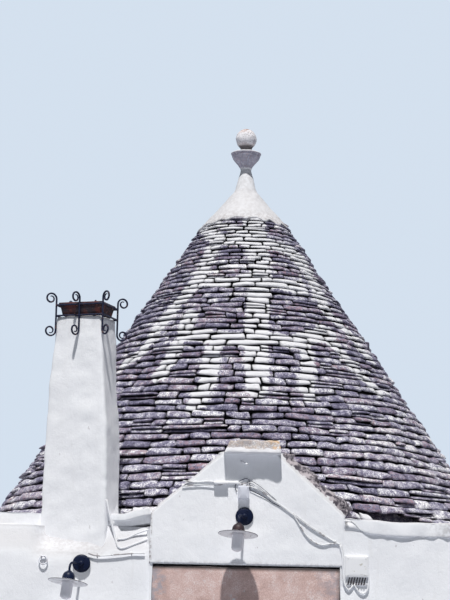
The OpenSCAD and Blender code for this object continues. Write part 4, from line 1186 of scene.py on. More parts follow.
# A painted shadow of the plaster's edge: a dark band along the top, thicker on the left, and a thin one at
# the right end.
top_edge_painted_shadow = ease(lz, lintel_high[2] - 0.012 - thick, lintel_high[2] - 0.012 - thick * 0.4)
end_painted_shadow = ease(lx, lintel_high[0] - 0.016, lintel_high[0] - 0.008)
ends = np.maximum(ease(-lx, 0.655, 0.665), 0.75 * ease(lx, 0.50, 0.78))
ends = np.maximum(ends, 0.35 * ease(lumps(lintel_shape[0], 0.22, 93), 0.2, 0.8))
flecks = 0.26 * ease(lumps(lintel_shape[0], 0.10, 94), -0.2, 0.8)
piece("door_lintel_stone", lintel_shape, lintel_stone, "lintel_stone", ["lintel"],
      deep=np.clip(np.maximum(top_edge_painted_shadow, end_painted_shadow), 0, 0.92), stain=ends, wash=flecks,
      tone=0.10 + 0.10 * lumps(lintel_shape[0], 0.30, 95))

JAMB_STONES = 4


def jamb(name, node):
    """A door jamb: stones stacked on each other, each with its own tone."""
    low, high = corner_pair(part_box(node))
    cuts = low[2] + (high[2] - low[2]) * np.linspace(0, 1, JAMB_STONES + 1)
    cuts[1:-1] += draws.uniform(-0.06, 0.06, JAMB_STONES - 1)
    stones, tones = [], []
    for k, (z0, z1) in enumerate(zip(cuts, cuts[1:])):
        rings = block_rings([low[0], low[1], z0 + 0.002], [high[0], high[1], z1 - 0.002], 0.010, 0.035)
        stones.append(skin(roughened(rings, (0.003, 0.15), (0.002, 0.05), seed=100 + k)))
        tones.append(np.full(len(stones[-1][0]), 0.10 + draws.uniform(-0.12, 0.12)))
    shape = joined(stones)
    piece(name, shape, lintel_stone, "lintel_stone", [node], tone=np.concatenate(tones),
          stain=0.6 * (1 - ease(shape[0][:, 2], 0.0, 0.6)))


jamb("door_jamb_stones_left", "door_jamb_left")
jamb("door_jamb_stones_right", "door_jamb_right")
step_low, step_high = corner_pair(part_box("doorstep"))
step_rings = block_rings(step_low, step_high, 0.018, 0.04, axis=0)
worn = (1 - ((step_rings[..., 0] - PORTAL_X) / 0.565) ** 2) * ease(step_rings[..., 2], 0.12, 0.15)
step_rings = roughened(step_rings, (0.003, 0.12), (0.0015, 0.05), seed=110)
step_rings[..., 2] -= 0.010 * worn
piece("doorstep_stone", skin(step_rings), lintel_stone, "lintel_stone", ["doorstep"], tone=0.08, stain=0.5)

# %% [markdown]
# ## Coping
# A thick limed coping runs round the top of the walls, from one side of the gable to the other, and its
# flat top reaches in to the foot of the cone. It is one section carried round the house. On the sides and
# the back it has a full round nose, on the right of the front a slight one, and left of the chimney none:
# there it carries on the bank of the wall. Seen from the axis, its outer edge is a rectangle with slightly
# round corners, which a power mean of the two sides gives.

# %% Path of the coping
COPING_OUT = 0.040
RIGHT_OUT = 0.012
LEDGE = 0.060
FULL = COPING_TOP - WALL_TOP
NOSE_DEPTH = 0.052
ROUND_CORNER = 36
END_CURVE = 0.15
BANK_TOP = LEFT_FRONT + BANK_DEPTH
SLOPE = FULL * BANK_DEPTH / BANK_RISE


def wall_edge(angle, proud):
    """Distance from the axis to an edge that stands out of the walls by proud: the power mean of the two
    sides of a rectangle."""
    c, s = np.cos(angle), np.sin(angle)
    y = np.where(s > 0, BACK, np.where(c > 0, -RIGHT_FRONT, -BANK_TOP))
    ratio = np.abs(c / (HALF_WIDTH + proud)) ** ROUND_CORNER + np.abs(s / (y + proud)) ** ROUND_CORNER
    return ratio ** (-1 / ROUND_CORNER)


start = np.arctan2(RIGHT_FRONT, right_edge)
end = np.arctan2(BANK_TOP, left_edge) + 2 * np.pi
angles = np.linspace(start, end, 4000)
track = wall_edge(angles, COPING_OUT)[:, None] * np.stack([np.cos(angles), np.sin(angles)], 1)
travelled = np.concatenate([[0], np.cumsum(np.linalg.norm(np.diff(track, axis=0), axis=1))])
stops = np.linspace(0, travelled[-1], int(travelled[-1] / 0.04))
angles = np.interp(stops, travelled, angles)
stop_x, stop_y = wall_edge(angles, COPING_OUT) * [np.cos(angles), np.sin(angles)]
print("the coping is", round(float(travelled[-1]), 2), "m long in", len(stops), "sections")

# %% Coping
at_front = ease(-stop_y, 2.45, 2.60)
banked = at_front * ease(-stop_x, 1.30, 1.42)
lipped = at_front * (stop_x < 0) * (1 - banked)
on_right = at_front * (stop_x > 0)
rising = np.sqrt(1 - (1 - np.clip((stops - 0.075) / END_CURVE, 0, 1)) ** 2) * 0.75 + 0.25
proud = (COPING_OUT * (1 - banked) - (COPING_OUT - RIGHT_OUT) * on_right) * rising
thick = (FULL - (FULL - LEDGE) * lipped) * rising
ledge = lipped * ease(stop_x, -1.14, -1.05)
proud = proud * (1 - lipped) + 0.052 * ledge
lifted = 0.055 * ledge * ease(stop_x, -1.05, -0.82)
edge = wall_edge(angles, proud + on_right * bulge(stop_x))
ahead_of = face_out[0] * np.cos(angles) + face_out[1] * np.sin(angles)
to_face = (face_middle @ face_out - 0.06) / np.maximum(ahead_of, 0.1)
edge += (np.minimum(edge, to_face) - edge) * at_front * before_chimney(stop_x, 0.20)
across = np.linspace(0, 1, 12)
nose = np.radians(np.linspace(80, -85, 8))
flat = np.maximum(on_right, lipped)[:, None]
power = 1 - 0.7 * flat
fall = 0.5 - 0.5 * np.sign(nose) * np.abs(np.sin(nose)) ** power
depth = NOSE_DEPTH - 0.036 * flat
round_nose = -depth + depth * np.cos(nose) ** power
sloped_nose = -SLOPE * (1 - fall)
nose_reach = edge[:, None] + round_nose + banked[:, None] * (sloped_nose - round_nose)
flat_reach = FOOTING_RADIUS + 0.002 + np.outer(edge - NOSE_DEPTH - FOOTING_RADIUS, across)
tucked = (edge - proud + 0.001 - 0.003 * (1 - on_right))[:, None]
back = np.full((len(edge), 1), FOOTING_RADIUS + 0.002)
reach = np.concatenate([flat_reach, nose_reach, tucked, tucked, back], 1)
ones = np.ones((len(edge), 1))
drop = np.concatenate([0.012 * across * ones, 0.012 + thick[:, None] * fall, thick[:, None] + 0.012,
                       (FULL + 0.002) * ones, (FULL + 0.002) * ones], 1)
lift = lifted[:, None] * ease(reach, 2.60, 2.80)
coping_rings = around_axis(reach, angles[:, None], COPING_TOP - drop + lift)
worn_end = (0.35 + 0.65 * ease(coping_rings[..., 0], 1.40, 1.95)) * on_right[:, None]
bumpy = (0.006 * lumps(coping_rings, 0.22, 121)
         + (0.004 + 0.006 * ledge[:, None]) * lumps(coping_rings, 0.08, 122)
         + 0.013 * worn_end * lumps(coping_rings, 0.050, 123))
coping_rings += outward(coping_rings) * bumpy[..., None]
coping_shape = skin(settled(coping_rings))
cx, cy = coping_shape[0].T[:2]
grime = 0.75 * ease(cx, 1.40, 1.95) * (cy < -2.6)
joint = 1 - ease(np.hypot(cx, cy), FOOTING_RADIUS + 0.01, FOOTING_RADIUS + 0.10)
piece("coping_limed", coping_shape, whitewash, "whitewash",
      ["coping_front_left", "coping_front_right", "coping_back_left", "coping_back_right"],
      grime=np.clip(grime + 0.6 * joint, 0, 1), mortar=0.45 * joint)

# %% [markdown]
# ## Chimney
# The chimney is a tall tapered pier, turned a little on the wall, that bends inwards half way up. Its rows
# are rounded outlines whose half widths follow the height. At the top the rows turn in over the edge and
# go down into the flue.

# %% Chimney
BEND_Z = 3.430
BEND_SHARE = 1.045 / 2.048
BEND_HALF = np.array([0.285, FOOT_HALF[1] - 0.005 * BEND_SHARE])
TOP_HALF = np.array([0.215, 0.160])
FLUE_HALF = np.array([0.120, 0.065])
CHIMNEY_EDGE = 0.026
MOUTH_Z = float(chimney_high[2])


def on_chimney(points):
    """Points measured from the chimney's middle, turned with it and moved to where it stands."""
    return turned_about_z(points, CHIMNEY_TURN) + [*CHIMNEY_AT, 0]


z = np.concatenate([np.arange(CHIMNEY_FOOT_Z - 0.03, MOUTH_Z - 0.012, 0.03), [MOUTH_Z - 0.012]])
stops = [CHIMNEY_FOOT_Z, BEND_Z, MOUTH_Z]
half = np.stack([np.interp(z, stops, [FOOT_HALF[k], BEND_HALF[k], TOP_HALF[k]]) for k in (0, 1)], 1)
over = TOP_HALF - [[0.004, 0.004], [0.012, 0.012], [0.05, 0.05]]
z = np.concatenate([z, MOUTH_Z - np.array([0.005, 0.001, 0.0, 0.0, 0.01, 0.12, 0.30, 0.50])])
half = np.concatenate([half, over, [FLUE_HALF] * 5 + np.array([[0.01], [0], [0], [0], [0]])])
core, out = round_outline(16, 15, 3)
flat = core * (half[:, None] - CHIMNEY_EDGE) + CHIMNEY_EDGE * out
chimney_rings = on_chimney(at_heights(flat, z))
leaning = ease(chimney_rings[..., 2], 3.20, 4.00)
leftward = ease(CHIMNEY_AT[0] - chimney_rings[..., 0], -0.15, 0.15)
chimney_rings[..., 0] -= leaning * (0.008 + 0.004 * leftward)
chimney_rings = roughened(chimney_rings, (0.008, 0.35), (0.006, 0.12), (0.003, 0.05), seed=131)
chimney_shape = skin(chimney_rings)
hz = chimney_shape[0][:, 2]
inside = np.zeros(len(hz))
inside[(len(z) - 5) * len(core):-2] = 1
inside[-1] = 1
piece("chimney_limed", chimney_shape, whitewash, "whitewash", ["chimney"],
      grime=np.clip(0.02 + 0.2 * ease(hz, 4.30, 4.42) + inside, 0, 1))

# %% [markdown]
# ## The iron basket and the flower box
# Six square bars stand round the chimney's top, and each ends in a scroll above and below. A scroll is a
# spiral whose radius shrinks in a straight line with its angle. Two rails hold the bars, flat bars under
# the clay box carry it, and the box is filled with dry soil.

# %% Basket
BAR = 0.014
SCROLL = 0.058
SCROLL_TURN = np.radians(470)
SCROLL_END = 0.38
POST_DROP, POST_RISE = 0.128, 0.158
RAIL_GAP = 0.096
POST_X = float(TOP_HALF[0]) + BAR / 2
POST_Y = float(TOP_HALF[1]) + BAR / 2 + 0.003
POST_FOOT = MOUTH_Z - POST_DROP
POST_TOP = MOUTH_Z + POST_RISE
RAIL_LOW = MOUTH_Z
RAIL_HIGH = RAIL_LOW + RAIL_GAP


def scroll_path():
    """Points of a scroll in its own plane: it starts at the origin going up and curls to the left."""
    t = np.linspace(0, 1, 34)
    middle = SCROLL - BAR / 2
    radius = middle * (1 - (1 - SCROLL_END) * t)
    return np.stack([-middle + radius * np.cos(SCROLL_TURN * t), radius * np.sin(SCROLL_TURN * t)], 1)


def post(x, y, turn):
    """One bar with a scroll at each end, in the upright plane that turn gives."""
    curl = scroll_path()
    straight = np.stack([np.zeros(8), np.linspace(POST_FOOT, POST_TOP, 10)[1:-1]], 1)
    line = np.concatenate([(curl * [1, -1] + [0, POST_FOOT])[::-1], straight, curl + [0, POST_TOP]])
    path = np.stack([line[:, 0] * np.cos(turn) + x, line[:, 0] * np.sin(turn) + y, line[:, 1]], 1)
    size = np.interp(np.arange(len(path)), [0, 12, len(path) - 13, len(path) - 1], [0.55, 1, 1, 0.55])
    return bar_rings(path, square_bar(BAR), np.array([-np.sin(turn), np.cos(turn), 0]), size)


def rail(z):
    """A square frame of bar round the six posts, closed on itself."""
    core, out = round_outline(6, 6, 2)
    path = core * [POST_X - 0.004, POST_Y - 0.004] + out * 0.004
    path = np.column_stack([path, np.full(len(path), z + BAR / 2)])
    return loop_rings(path, square_bar(BAR), np.cross(way_round(path), [0, 0, 1]), [0, 0, -1.0])


CORNER_TURNS = {(-1, -1): 45, (1, -1): 147, (1, 1): -135, (-1, 1): -45, (0, -1): 72, (0, 1): -72}
bars = [skin(post(sx * POST_X, sy * POST_Y, np.radians(turn))) for (sx, sy), turn in CORNER_TURNS.items()]
bars += [skin(rail(z), closed=True) for z in (RAIL_LOW, RAIL_HIGH)]
PLANTER_HALF = np.array([POST_X - BAR / 2 - 0.010, POST_Y - BAR / 2 - 0.010])
for k in (-1, 0, 1):
    at = k * 2 * PLANTER_HALF[0] / 3
    flat_bar = block_rings([at - BAR, -POST_Y, RAIL_LOW + 0.001], [at + BAR, POST_Y, RAIL_LOW + BAR],
                           0.002, 0.12, axis=1)
    bars.append(skin(flat_bar))
basket_points, *basket_faces = joined(bars)
piece("iron_flower_basket", (on_chimney(basket_points), *basket_faces), iron, "iron", ["flower_basket"])

# %% Flower box and soil
PLANTER_LOW = RAIL_LOW + BAR
PLANTER_RISE = 0.112
PLANTER_TOP = PLANTER_LOW + PLANTER_RISE
TAPER_IN = 0.024
WALL_THICK = 0.018
z = np.array([0, 0, 0.006, 0.03, 0.06, 0.080, 0.083, 0.090, 0.108, PLANTER_RISE, PLANTER_RISE, 0.108,
              0.08, 0.05, 0.022, 0.018, 0.018])
inset = TAPER_IN * (1 - z / PLANTER_RISE)
outside = [0.05, 0.006, 0, 0, 0, 0, -0.003, -0.006, -0.006, -0.003]
inset += outside + [WALL_THICK - 0.004] + [WALL_THICK] * 5 + [0.06]
core, out = round_outline(10, 10, 3)
flat = core * (PLANTER_HALF - inset[:, None] - 0.014)[:, None] + 0.014 * out
box_rings = roughened(at_heights(flat, PLANTER_LOW + z), (0.0012, 0.06), seed=141)
piece("clay_flower_box", skin(on_chimney(box_rings)), terracotta, "terracotta", ["flower_box"])

soil_half = PLANTER_HALF - WALL_THICK - 0.001
soil_rings = block_rings([*-(soil_half - TAPER_IN * 0.8), PLANTER_LOW + 0.02],
                         [*(soil_half - 0.004), PLANTER_TOP - 0.014], 0.006, 0.018)
soil_rings = roughened(soil_rings, (0.006, 0.05), (0.004, 0.02), seed=145)
heap = 1 - np.clip(np.hypot(soil_rings[..., 0], soil_rings[..., 1]) / 0.2, 0, 1)
soil_rings[..., 2] += 0.010 * ease(soil_rings[..., 2], PLANTER_TOP - 0.04, PLANTER_TOP - 0.02) * heap
piece("dry_soil", skin(on_chimney(soil_rings)), soil_look, "soil", ["soil"])

# %% [markdown]
# ## Lamps
# Both lamps are alike: a round domed plate on the wall, a bent arm, a bell-shaped holder, a flat enamel
# shade with a rolled rim, and a frosted glass with a round end. Plate, holder, shade and glass are turned
# shapes and the arm is a round bar. The heads hang a few degrees out of true, each by its own amount.

# %% Profiles of the lamps
LAMP_REACH = 0.230
LAMP_DROP = 0.158
ARM_FOOT = 0.083
NOD = np.radians(9)
ARM = 0.010
ARM_BEND = 0.055
PLATE = 0.076
SHADE_EDGE = 0.164
GLASS_LONG, GLASS_WIDE, GLASS_THICK = 0.150, 0.048, 0.004

bend = np.radians(np.linspace(0, 90, 10))
dome = np.stack([0.070 * np.cos(bend), 0.020 + 0.012 * np.sin(bend)], 1)[1:-1]
plate_profile = np.concatenate([[[0.060, 0], [0.074, 0.002], [PLATE, 0.012], [0.074, 0.020]], dome,
                                [[0.024, 0.034], [0.020, 0.042], [0.012, 0.048]]])
screw_profile = [[0.003, 0], [0.006, 0], [0.0055, 0.003], [0.002, 0.004]]
nut_profile = [[0.010, 0], [0.016, 0.001], [0.016, 0.012], [0.010, 0.013]]
bell_profile = np.array([[0.012, 0.010], [0.040, 0.008], [0.052, 0.0], [0.054, 0.004], [0.054, 0.026],
                         [0.052, 0.042], [0.048, 0.056], [0.041, 0.067], [0.031, 0.076], [0.021, 0.081],
                         [0.019, 0.086], [0.013, 0.089]]) + [0, 0.003]
roll = np.radians(np.linspace(-120, 120, 9))
rolled_rim = np.stack([SHADE_EDGE - 0.004 + 0.004 * np.cos(roll), -0.006 + 0.004 * np.sin(roll)], 1)
shade_profile = np.concatenate([[[0.0475, -0.001], [0.08, -0.002], [0.12, -0.0045], [0.150, -0.008]],
                                rolled_rim, [[0.150, -0.003], [0.10, 0.001], [0.06, 0.004], [0.0475, 0.004]]])
end_bend = np.radians(np.linspace(-85, 0, 9))
glass_out = np.stack([GLASS_WIDE * np.cos(end_bend), -GLASS_LONG + 0.034 + 0.034 * np.sin(end_bend)], 1)
glass_in = np.stack([(GLASS_WIDE - GLASS_THICK) * np.cos(end_bend),
                     -GLASS_LONG + 0.036 + 0.031 * np.sin(end_bend)], 1)[::-1]
glass_lip = [[GLASS_WIDE, -0.08], [GLASS_WIDE, -0.03], [GLASS_WIDE, -0.001], [GLASS_WIDE - 0.002, 0.0015],
             [GLASS_WIDE - GLASS_THICK, -0.001], [GLASS_WIDE - GLASS_THICK, -0.05]]
glass_profile = np.concatenate([glass_out, glass_lip, glass_in])
print("the shade is", 2 * SHADE_EDGE, "m wide")

# %% Lamps
def hung(points, pivot, tilt):
    """A head that has slipped on its arm: its front turned up by NOD, and then the whole turned about a
    line along Y by tilt, clockwise for who stands in front."""
    c, s = np.cos(NOD), np.sin(NOD)
    nodded = (points - pivot) @ np.array([[1, 0, 0], [0, c, -s], [0, s, c]])
    c, s = np.cos(tilt), np.sin(tilt)
    return nodded @ np.array([[c, 0, -s], [0, 1, 0], [s, 0, c]]) + pivot


def plate_parts(at):
    """The domed wall plate and its three screws."""
    parts = [skin(facing_front(turned_rings(plate_profile, 48)) + at)]
    screw = facing_front(turned_rings(screw_profile, 10))
    for angle in np.radians([60, 180, 300]):
        parts.append(skin(screw + at + [0.052 * np.cos(angle), -0.028, 0.052 * np.sin(angle)]))
    return parts


def arm_rings(at, top, sideways):
    """The arm: straight out from the plate, then down along a quarter circle to the top of the head."""
    reach = np.linalg.norm([sideways, LAMP_REACH])
    outwards = np.array([sideways, -LAMP_REACH, 0]) / reach
    path = [at + outwards * d for d in np.linspace(0.02, reach - ARM_BEND, 6)]
    path += [at + outwards * (reach - ARM_BEND + ARM_BEND * np.sin(a)) - [0, 0, ARM_BEND * (1 - np.cos(a))]
             for a in bend[1:]]
    path += [top - [0, 0, 0.006]]
    return bar_rings(path, circle(ARM), np.cross(outwards, [0, 0, 1]))


def lamp(name, at, sideways, tilt, holder_look):
    """One wall lamp, from the middle of its plate, how far its head stands to the side, and its tilt."""
    head = at + [sideways, -LAMP_REACH, -LAMP_DROP]
    top = at + [sideways, -LAMP_REACH, -ARM_FOOT]
    spoke = np.column_stack([circle(1.0, 48), np.zeros(48)])
    edging = loop_rings(SHADE_EDGE * spoke - [0, 0, 0.006], circle(0.0022, 6), spoke, [0, 0, -1.0])
    parts = plate_parts(at) + [
        skin(arm_rings(at, top, sideways)), skin(hung(edging + head, top, tilt), closed=True),
        skin(turned_rings(nut_profile, 6) + top + [0, 0, 0.004])]
    holder, shade, glass = [hung(turned_rings(profile, sides) + head, top, tilt) for profile, sides in
                            ((bell_profile, 40), (shade_profile, 64), (glass_profile, 40))]
    piece(name + "_iron", joined(parts), lamp_iron, "lamp_iron", [name + "_bracket"])
    piece(name + "_holder", skin(holder), holder_look, "lamp_iron", [name + "_bracket"])
    piece(name + "_enamel", skin(shade, closed=True), lamp_shade, "lamp_shade", [name + "_shade"])
    piece(name + "_frosted_glass", skin(glass), lamp_glass, "lamp_glass", [name + "_glass"])


def plate_middle(node):
    """Middle of a lamp's wall plate: the part of the bracket's box that touches the wall."""
    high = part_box(node)[1]
    return np.array([high.x - PLATE, high.y, high.z - PLATE])


lamp("door_lamp", plate_middle("door_lamp_bracket"), -0.049, np.radians(3.5), rusty_iron)
lamp("wall_lamp", plate_middle("wall_lamp_bracket"), -0.080, np.radians(6.5), lamp_iron)

# %% [markdown]
# ## Boxes, cables and the ring
# A small junction box over the door lamp and a meter box beside the lintel are joined by cables that
# follow the gable's slope, loop down and run along the wall. The routes repeat those of the part's source.
# Cables are round bars along smooth curves, held by small saddle clips, and lime covers them in places.

# %% Boxes
def screw_heads(low, high, y):
    """Four screws near the corners of a lid."""
    head = facing_front(turned_rings([[0.002, 0], [0.005, 0], [0.0045, 0.0025], [0.0015, 0.003]], 10))
    return [skin(head + [low[0] + a * (high[0] - low[0]), y + 0.0005, low[2] + b * (high[2] - low[2])])
            for a in (0.12, 0.88) for b in (0.12, 0.88)]


def lidded_box(name, node, look, slot, lid, lid_foot=0.0, louvres=0):
    """A moulded box with a lid: round-edged blocks with a groove between them. Under the lid's foot the
    front lies back, behind upright louvres in dark rusty iron, a painted shade for the recess under the lid."""
    low, high = corner_pair(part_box(node))
    split = low[1] + (high[1] - low[1]) * lid
    lid_low, inner_low = low + [0, 0, lid_foot], low + [0.006, 0, lid_foot + 0.006]
    parts = [skin(block_rings([low[0] + 0.002, split + 0.002, low[2] + 0.002],
                              [high[0] - 0.002, high[1], high[2] - 0.002], 0.005, 0.03, 1)),
             skin(block_rings(lid_low, [high[0], split, high[2]], 0.007, 0.03, 1)),
             skin(block_rings([inner_low[0], split - 0.004, inner_low[2]],
                              [high[0] - 0.006, split + 0.006, high[2] - 0.006], 0.002, 0.05, 1))]
    parts += screw_heads(lid_low, high, low[1])
    piece(name, joined(parts), look, slot, [node])
    # The louvres take the dark rusty iron: a painted shade for the recess under the lid.
    painted_shade_slats = []
    for x in np.linspace(low[0] + 0.020, high[0] - 0.040, louvres):
        slat = block_rings([x - 0.004, low[1] + 0.012, low[2] + 0.006],
                           [x + 0.004, split + 0.006, low[2] + lid_foot + 0.004], 0.002, 0.05)
        slat[..., 0] += 0.25 * (slat[..., 2] - low[2])
        painted_shade_slats.append(skin(slat))
    if painted_shade_slats:
        piece(name + "_slats", joined(painted_shade_slats), rusty_iron, "iron", [node])


lidded_box("lamp_junction_box", "lamp_box", aged_plastic, "box_plastic", 0.35)
lidded_box("meter_box_louvred", "meter_box", box_plastic, "box_plastic", 0.45, lid_foot=0.070, louvres=7)

# %% Routes of the cables
CABLE = 0.006
LINTEL_TOP = float(lintel_high[2])
GABLE_FACE = FACE - PROUD
LEFT_WALL_FACE = LEFT_FRONT - 0.004
CABLE_HIGH = [(-0.555, 0.704), (-0.445, 0.695), (-0.335, 0.702), (-0.215, 0.696), (-0.125, 0.700),
              (-0.045, 0.682)]
CABLE_SLOPE = [(-0.015, 0.675), (0.045, 0.660), (0.119, 0.625), (0.230, 0.542), (0.335, 0.470),
               (0.444, 0.395), (0.555, 0.320), (0.658, 0.257), (0.745, 0.215), (0.797, 0.180),
               (0.811, 0.110), (0.813, 0.010), (0.813, -0.110)]
CABLE_LOOP = [(0.380, 0.452), (0.435, 0.360), (0.495, 0.270), (0.565, 0.210), (0.635, 0.188),
              (0.715, 0.200), (0.785, 0.196)]
CABLE_LOW = [(0.104, -0.013), (0.184, -0.033), (0.334, -0.023), (0.474, -0.010), (0.584, -0.005)]
SECOND_WIRE = [(-0.560, 0.655), (-0.430, 0.672), (-0.300, 0.668), (-0.160, 0.690), (-0.050, 0.690),
               (0.030, 0.700), (0.085, 0.655), (0.170, 0.590), (0.300, 0.500), (0.420, 0.422),
               (0.530, 0.345), (0.640, 0.275), (0.770, 0.195)]
GABLE_CLIPS = [(-0.445, 0.695, 0), (-0.215, 0.697, 0), (0.230, 0.542, -0.6), (0.500, 0.357, -0.6),
               (0.745, 0.215, -0.4)]
LOW_CLIPS = [(0.184, -0.033), (0.474, -0.010)]
portal_corner = np.array([PORTAL_X, LINTEL_TOP])
chimney_corner = np.array([CHIMNEY_AT[0], CHIMNEY_FOOT_Z])
wall_out = np.array([0, -1.0, 0])
print("clips", len(GABLE_CLIPS) + len(LOW_CLIPS))

# %% Cables
def cable(route, corner, y, radius=CABLE):
    """A round cable on the wall, along X and Z measured from a corner, at a plane y."""
    flat = np.array(route) + corner
    on_wall = np.full(len(flat), y - radius - 0.001)
    path = curve_through(np.column_stack([flat[:, 0], on_wall, flat[:, 1]]), 0.02)
    path[:, 1] -= 0.004 * (1 + lumps(path, 0.10, 151)) * (radius < 0.006)
    path[:, 2] += 0.0025 * lumps(path, 0.12, 152)
    return bar_rings(path, circle(radius, 10), wall_out)


def clip(x, z, y, turn=0.0):
    """A saddle clip over a cable: a thin strap with two ears."""
    a = np.radians(np.linspace(-10, 190, 9))
    bridge = np.stack([(CABLE + 0.002) * np.cos(a), 0 * a, (CABLE + 0.002) * np.sin(a) + CABLE], 1)
    strap = np.concatenate([[[0.019, 0, 0.0015]], bridge, [[-0.019, 0, 0.0015]]])
    rings = bar_rings(strap, square_bar(1.0) * [0.007, 0.002], np.array([0, 1.0, 0]))
    c, s = np.cos(turn), np.sin(turn)
    local = rings @ np.array([[c, 0, s], [-s, 0, c], [0, -1, 0]])
    return skin(local + [x, y - 0.0005, z])


runs = [skin(cable(route, portal_corner, GABLE_FACE)) for route in (CABLE_HIGH, CABLE_SLOPE, CABLE_LOOP)]
runs.append(skin(cable(CABLE_LOW, chimney_corner, LEFT_WALL_FACE)))
runs.append(skin(cable(SECOND_WIRE, portal_corner, GABLE_FACE, 0.0045)))
runs += [clip(*(portal_corner + [x, z]), GABLE_FACE, turn + np.pi / 2) for x, z, turn in GABLE_CLIPS]
runs += [clip(*(chimney_corner + at), LEFT_WALL_FACE, np.pi / 2) for at in LOW_CLIPS]
piece("wall_cables", joined(runs), cable_jacket, "cable_jacket", ["cables"])

# %% Conduits and wires followed in the photograph
def seen_run(pixels, y, radius, bank=False):
    """A cable followed in the photograph: its pixels are thrown onto the upright plane at y, and where it
    lies on the bank it leans back with it."""
    d = sight(pixels)
    path = curve_through(EYE + d * ((y - EYE[1]) / d[:, 1])[:, None], 0.02)
    if bank:
        path[:, 1] += BANK_DEPTH * np.clip((path[:, 2] - WALL_TOP + BANK_RISE) / BANK_RISE, 0, 0.6)
    return skin(bar_rings(path, circle(radius, 8), wall_out))


ON_BANK = LEFT_FRONT - 0.006
ON_GABLE = GABLE_FACE - 0.006
ON_RIGHT = RIGHT_FRONT - 0.024
CORNER_PIXELS = [(106, 499), (108, 509), (111, 522), (115, 538), (120, 548), (134, 544), (149, 538)]
CORNER_BRANCH_PIXELS = [(117, 539), (126, 538), (137, 533), (149, 529)]
METER_PIXELS = [(340, 545), (342.5, 556), (343.2, 570), (344.5, 584), (349, 590), (353, 585)]
METER_LOOP_PIXELS = [(354, 584), (358, 591), (363, 594), (367.5, 590), (368.6, 580), (368.2, 568)]
limed_runs = [seen_run(CORNER_PIXELS, ON_BANK, 0.009, True),
              seen_run(CORNER_BRANCH_PIXELS, ON_BANK, 0.008, True),
              seen_run(METER_PIXELS, ON_RIGHT, 0.008),
              seen_run(METER_LOOP_PIXELS, ON_RIGHT, 0.007)]
piece("limed_conduits", joined(limed_runs), whitewash, "whitewash")
UPPER_WIRE_PIXELS = [(249, 480), (255, 483), (262, 488), (269, 494), (276, 500)]
LOWER_WIRE_PIXELS = [(250, 490), (262, 496), (273, 503), (285, 509), (293, 515), (301, 521)]
BOX_WIRE_PIXELS = [(237, 492), (235, 487), (237, 483), (242, 480), (247, 478.5), (249.5, 482), (250, 490)]
black_runs = [seen_run(UPPER_WIRE_PIXELS, ON_GABLE, 0.0021),
              seen_run(LOWER_WIRE_PIXELS, ON_GABLE, 0.0024),
              seen_run(BOX_WIRE_PIXELS, ON_GABLE, 0.0026)]
piece("black_wires", joined(black_runs), lamp_iron, "lamp_iron")

# %% Brackets and the ring
BRACKET = np.array([(-0.278, -0.052, 2.972), (-0.158, 0.010, 2.992)])
CROSS_PIECE = np.array([(-0.165, -0.020, 2.978), (-0.060, 0.010, 2.996)])
PEG = np.array([(-0.052, -0.004, 3.172), (0.004, -0.085, 3.140)])
upright = np.array([0, 0, 1.0])
brackets = []
for k, corners in enumerate((BRACKET, CROSS_PIECE)):
    rings = block_rings(*(corners + [0, FACE, 0]), 0.005, 0.02, axis=0)
    brackets.append(skin(roughened(rings, (0.002, 0.04), seed=161 + k)))
peg = np.linspace(*(PEG + [0, FACE, 0]), 8)
brackets.append(skin(bar_rings(peg, circle(0.010, 8), upright, np.linspace(1.0, 0.75, 8))))
piece("limed_bracket_and_peg", joined(brackets), box_plastic, "ring_iron")

ring_low, ring_high = corner_pair(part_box("wall_ring"))
RING_BAR = 0.006
RING = 0.034
ring_x = (ring_low[0] + ring_high[0]) / 2
ring_middle = np.array([ring_x, ring_high[1] - 0.018, ring_low[2] + RING + RING_BAR])
angle = full_turn(40)
hoop = ring_middle + RING * np.stack([np.cos(angle), 0.14 * np.sin(angle) - 0.05, np.sin(angle)], 1)
hoop_rings = loop_rings(hoop, circle(RING_BAR, 10), wall_out, np.cross(wall_out, way_round(hoop)))
bow = np.radians(np.linspace(0, 180, 12))
eye_path = np.stack([0.016 * np.cos(bow), -0.014 * np.sin(bow) + 0.004, 0 * bow], 1)
eye_path = ring_middle + [0, 0, RING] + eye_path
eye_path = np.concatenate([[eye_path[0] + [0, 0.02, 0]], eye_path, [eye_path[-1] + [0, 0.02, 0]]])
ring_parts = [skin(hoop_rings, closed=True), skin(bar_rings(eye_path, circle(0.005, 8), upright))]
piece("tether_ring", joined(ring_parts), ring_iron, "ring_iron", ["wall_ring"])

# %% [markdown]
# ## The doorway and the room
# Two plank leaves stand open against the sides of the passage, in a frame of the same dark wood. Each is
# made of upright boards on three ledges, with strap hinges. The floor of the room and the passage is laid
# with worn flags. What is high up inside keeps its solid, in old thinly limed stone.

# %% Door
post_nodes = ["door_post_left", "door_post_right", "door_head"]
frames = []
for k, node in enumerate(post_nodes):
    low, high = corner_pair(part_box(node))
    beam = block_rings(low, high, 0.004, 0.06, axis=0 if node == "door_head" else 2)
    frames.append(skin(roughened(beam, (0.0008, 0.08), seed=170 + k)))
piece("door_frame_wood", joined(frames), door_wood, "door_wood", post_nodes)

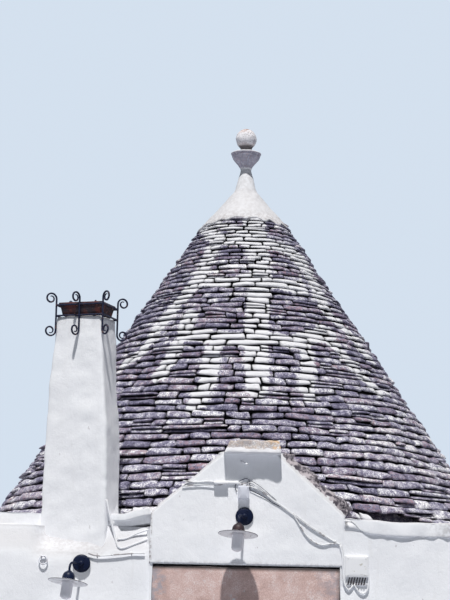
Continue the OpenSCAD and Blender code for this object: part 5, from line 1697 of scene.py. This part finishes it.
BOARDS = 4
BOARD_THICK = 0.026
LEDGES = (0.10, 0.50, 0.88)
knuckle = turned_rings([[0.004, -0.03], [0.009, -0.03], [0.009, 0.03], [0.004, 0.03]], 12)
irons = []
for node, inward in (("door_leaf_left", 1), ("door_leaf_right", -1)):
    low, high = corner_pair(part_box(node))
    face = (low[0], low[0] + BOARD_THICK) if inward > 0 else (high[0] - BOARD_THICK, high[0])
    ledge = (low[0] + 0.025, high[0]) if inward > 0 else (low[0], high[0] - 0.025)
    parts = []
    for k in range(BOARDS):
        y0, y1 = low[1] + (high[1] - low[1]) * np.array([k, k + 1]) / BOARDS
        board = block_rings([face[0], y0 + 0.001, low[2]], [face[1], y1 - 0.001, high[2]], 0.004, 0.05)
        parts.append(skin(roughened(board, (0.0008, 0.12), seed=180 + k)))
    for share in LEDGES:
        z = low[2] + share * (high[2] - low[2])
        batten = block_rings([ledge[0], low[1] + 0.02, z - 0.05], [ledge[1], high[1] - 0.02, z + 0.05],
                             0.004, 0.06, axis=1)
        parts.append(skin(batten))
        strap = (face[0] - 0.001, face[0] + 0.003) if inward > 0 else (face[1] - 0.003, face[1] + 0.001)
        strap = block_rings([strap[0], low[1] + 0.004, z - 0.018], [strap[1], high[1] - 0.12, z + 0.018],
                            0.001, 0.06, axis=1)
        irons.append(skin(strap))
        middle = ledge[1] - 0.005 if inward > 0 else ledge[0] + 0.005
        irons.append(skin(knuckle + [middle, low[1] + 0.006, z]))
    piece(node + "_boards", joined(parts), door_wood, "door_wood", [node])
piece("door_hinges", joined(irons), iron, "iron")

# %% Floor flags and the room's stone
FLAG = 0.45
floor_high = np.array(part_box("floor")[1])
flags, tones = [], []


def lay_flags(x0, x1, y0, y1):
    """Fills a rectangle with flags of about one size, each with its own tone and slight unevenness."""
    nx, ny = max(round((x1 - x0) / FLAG), 1), max(round((y1 - y0) / FLAG), 1)
    for a in range(nx):
        for b in range(ny):
            low = [x0 + (x1 - x0) * a / nx + 0.002, y0 + (y1 - y0) * b / ny + 0.002, 0]
            high = [x0 + (x1 - x0) * (a + 1) / nx - 0.002, y0 + (y1 - y0) * (b + 1) / ny - 0.002,
                    floor_high[2]]
            rings = block_rings(low, high, 0.006, 0.15)
            rings[..., 2] = np.minimum(rings[..., 2], floor_high[2] - draws.uniform(0, 0.003))
            flags.append(skin(rings))
            tones.append(np.full(len(flags[-1][0]), draws.uniform(-0.08, 0.14)))


lay_flags(-ROOM, ROOM, -ROOM, ROOM)
lay_flags(passage_left, passage_right, REVEAL, -ROOM)
piece("floor_flags", joined(flags), floor_stone, "floor_stone", ["floor"], tone=np.concatenate(tones),
      stain=0.3)

kept_solids = dict.fromkeys(("corner_slabs", "vault_lower", "vault_upper", "closing_slab"), vault_stone)
kept_solids["wall_over_door"] = whitewash
for node, look in kept_solids.items():
    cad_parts[node].data.materials.clear()
    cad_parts[node].data.materials.append(look)
print(len(flags), "flags")
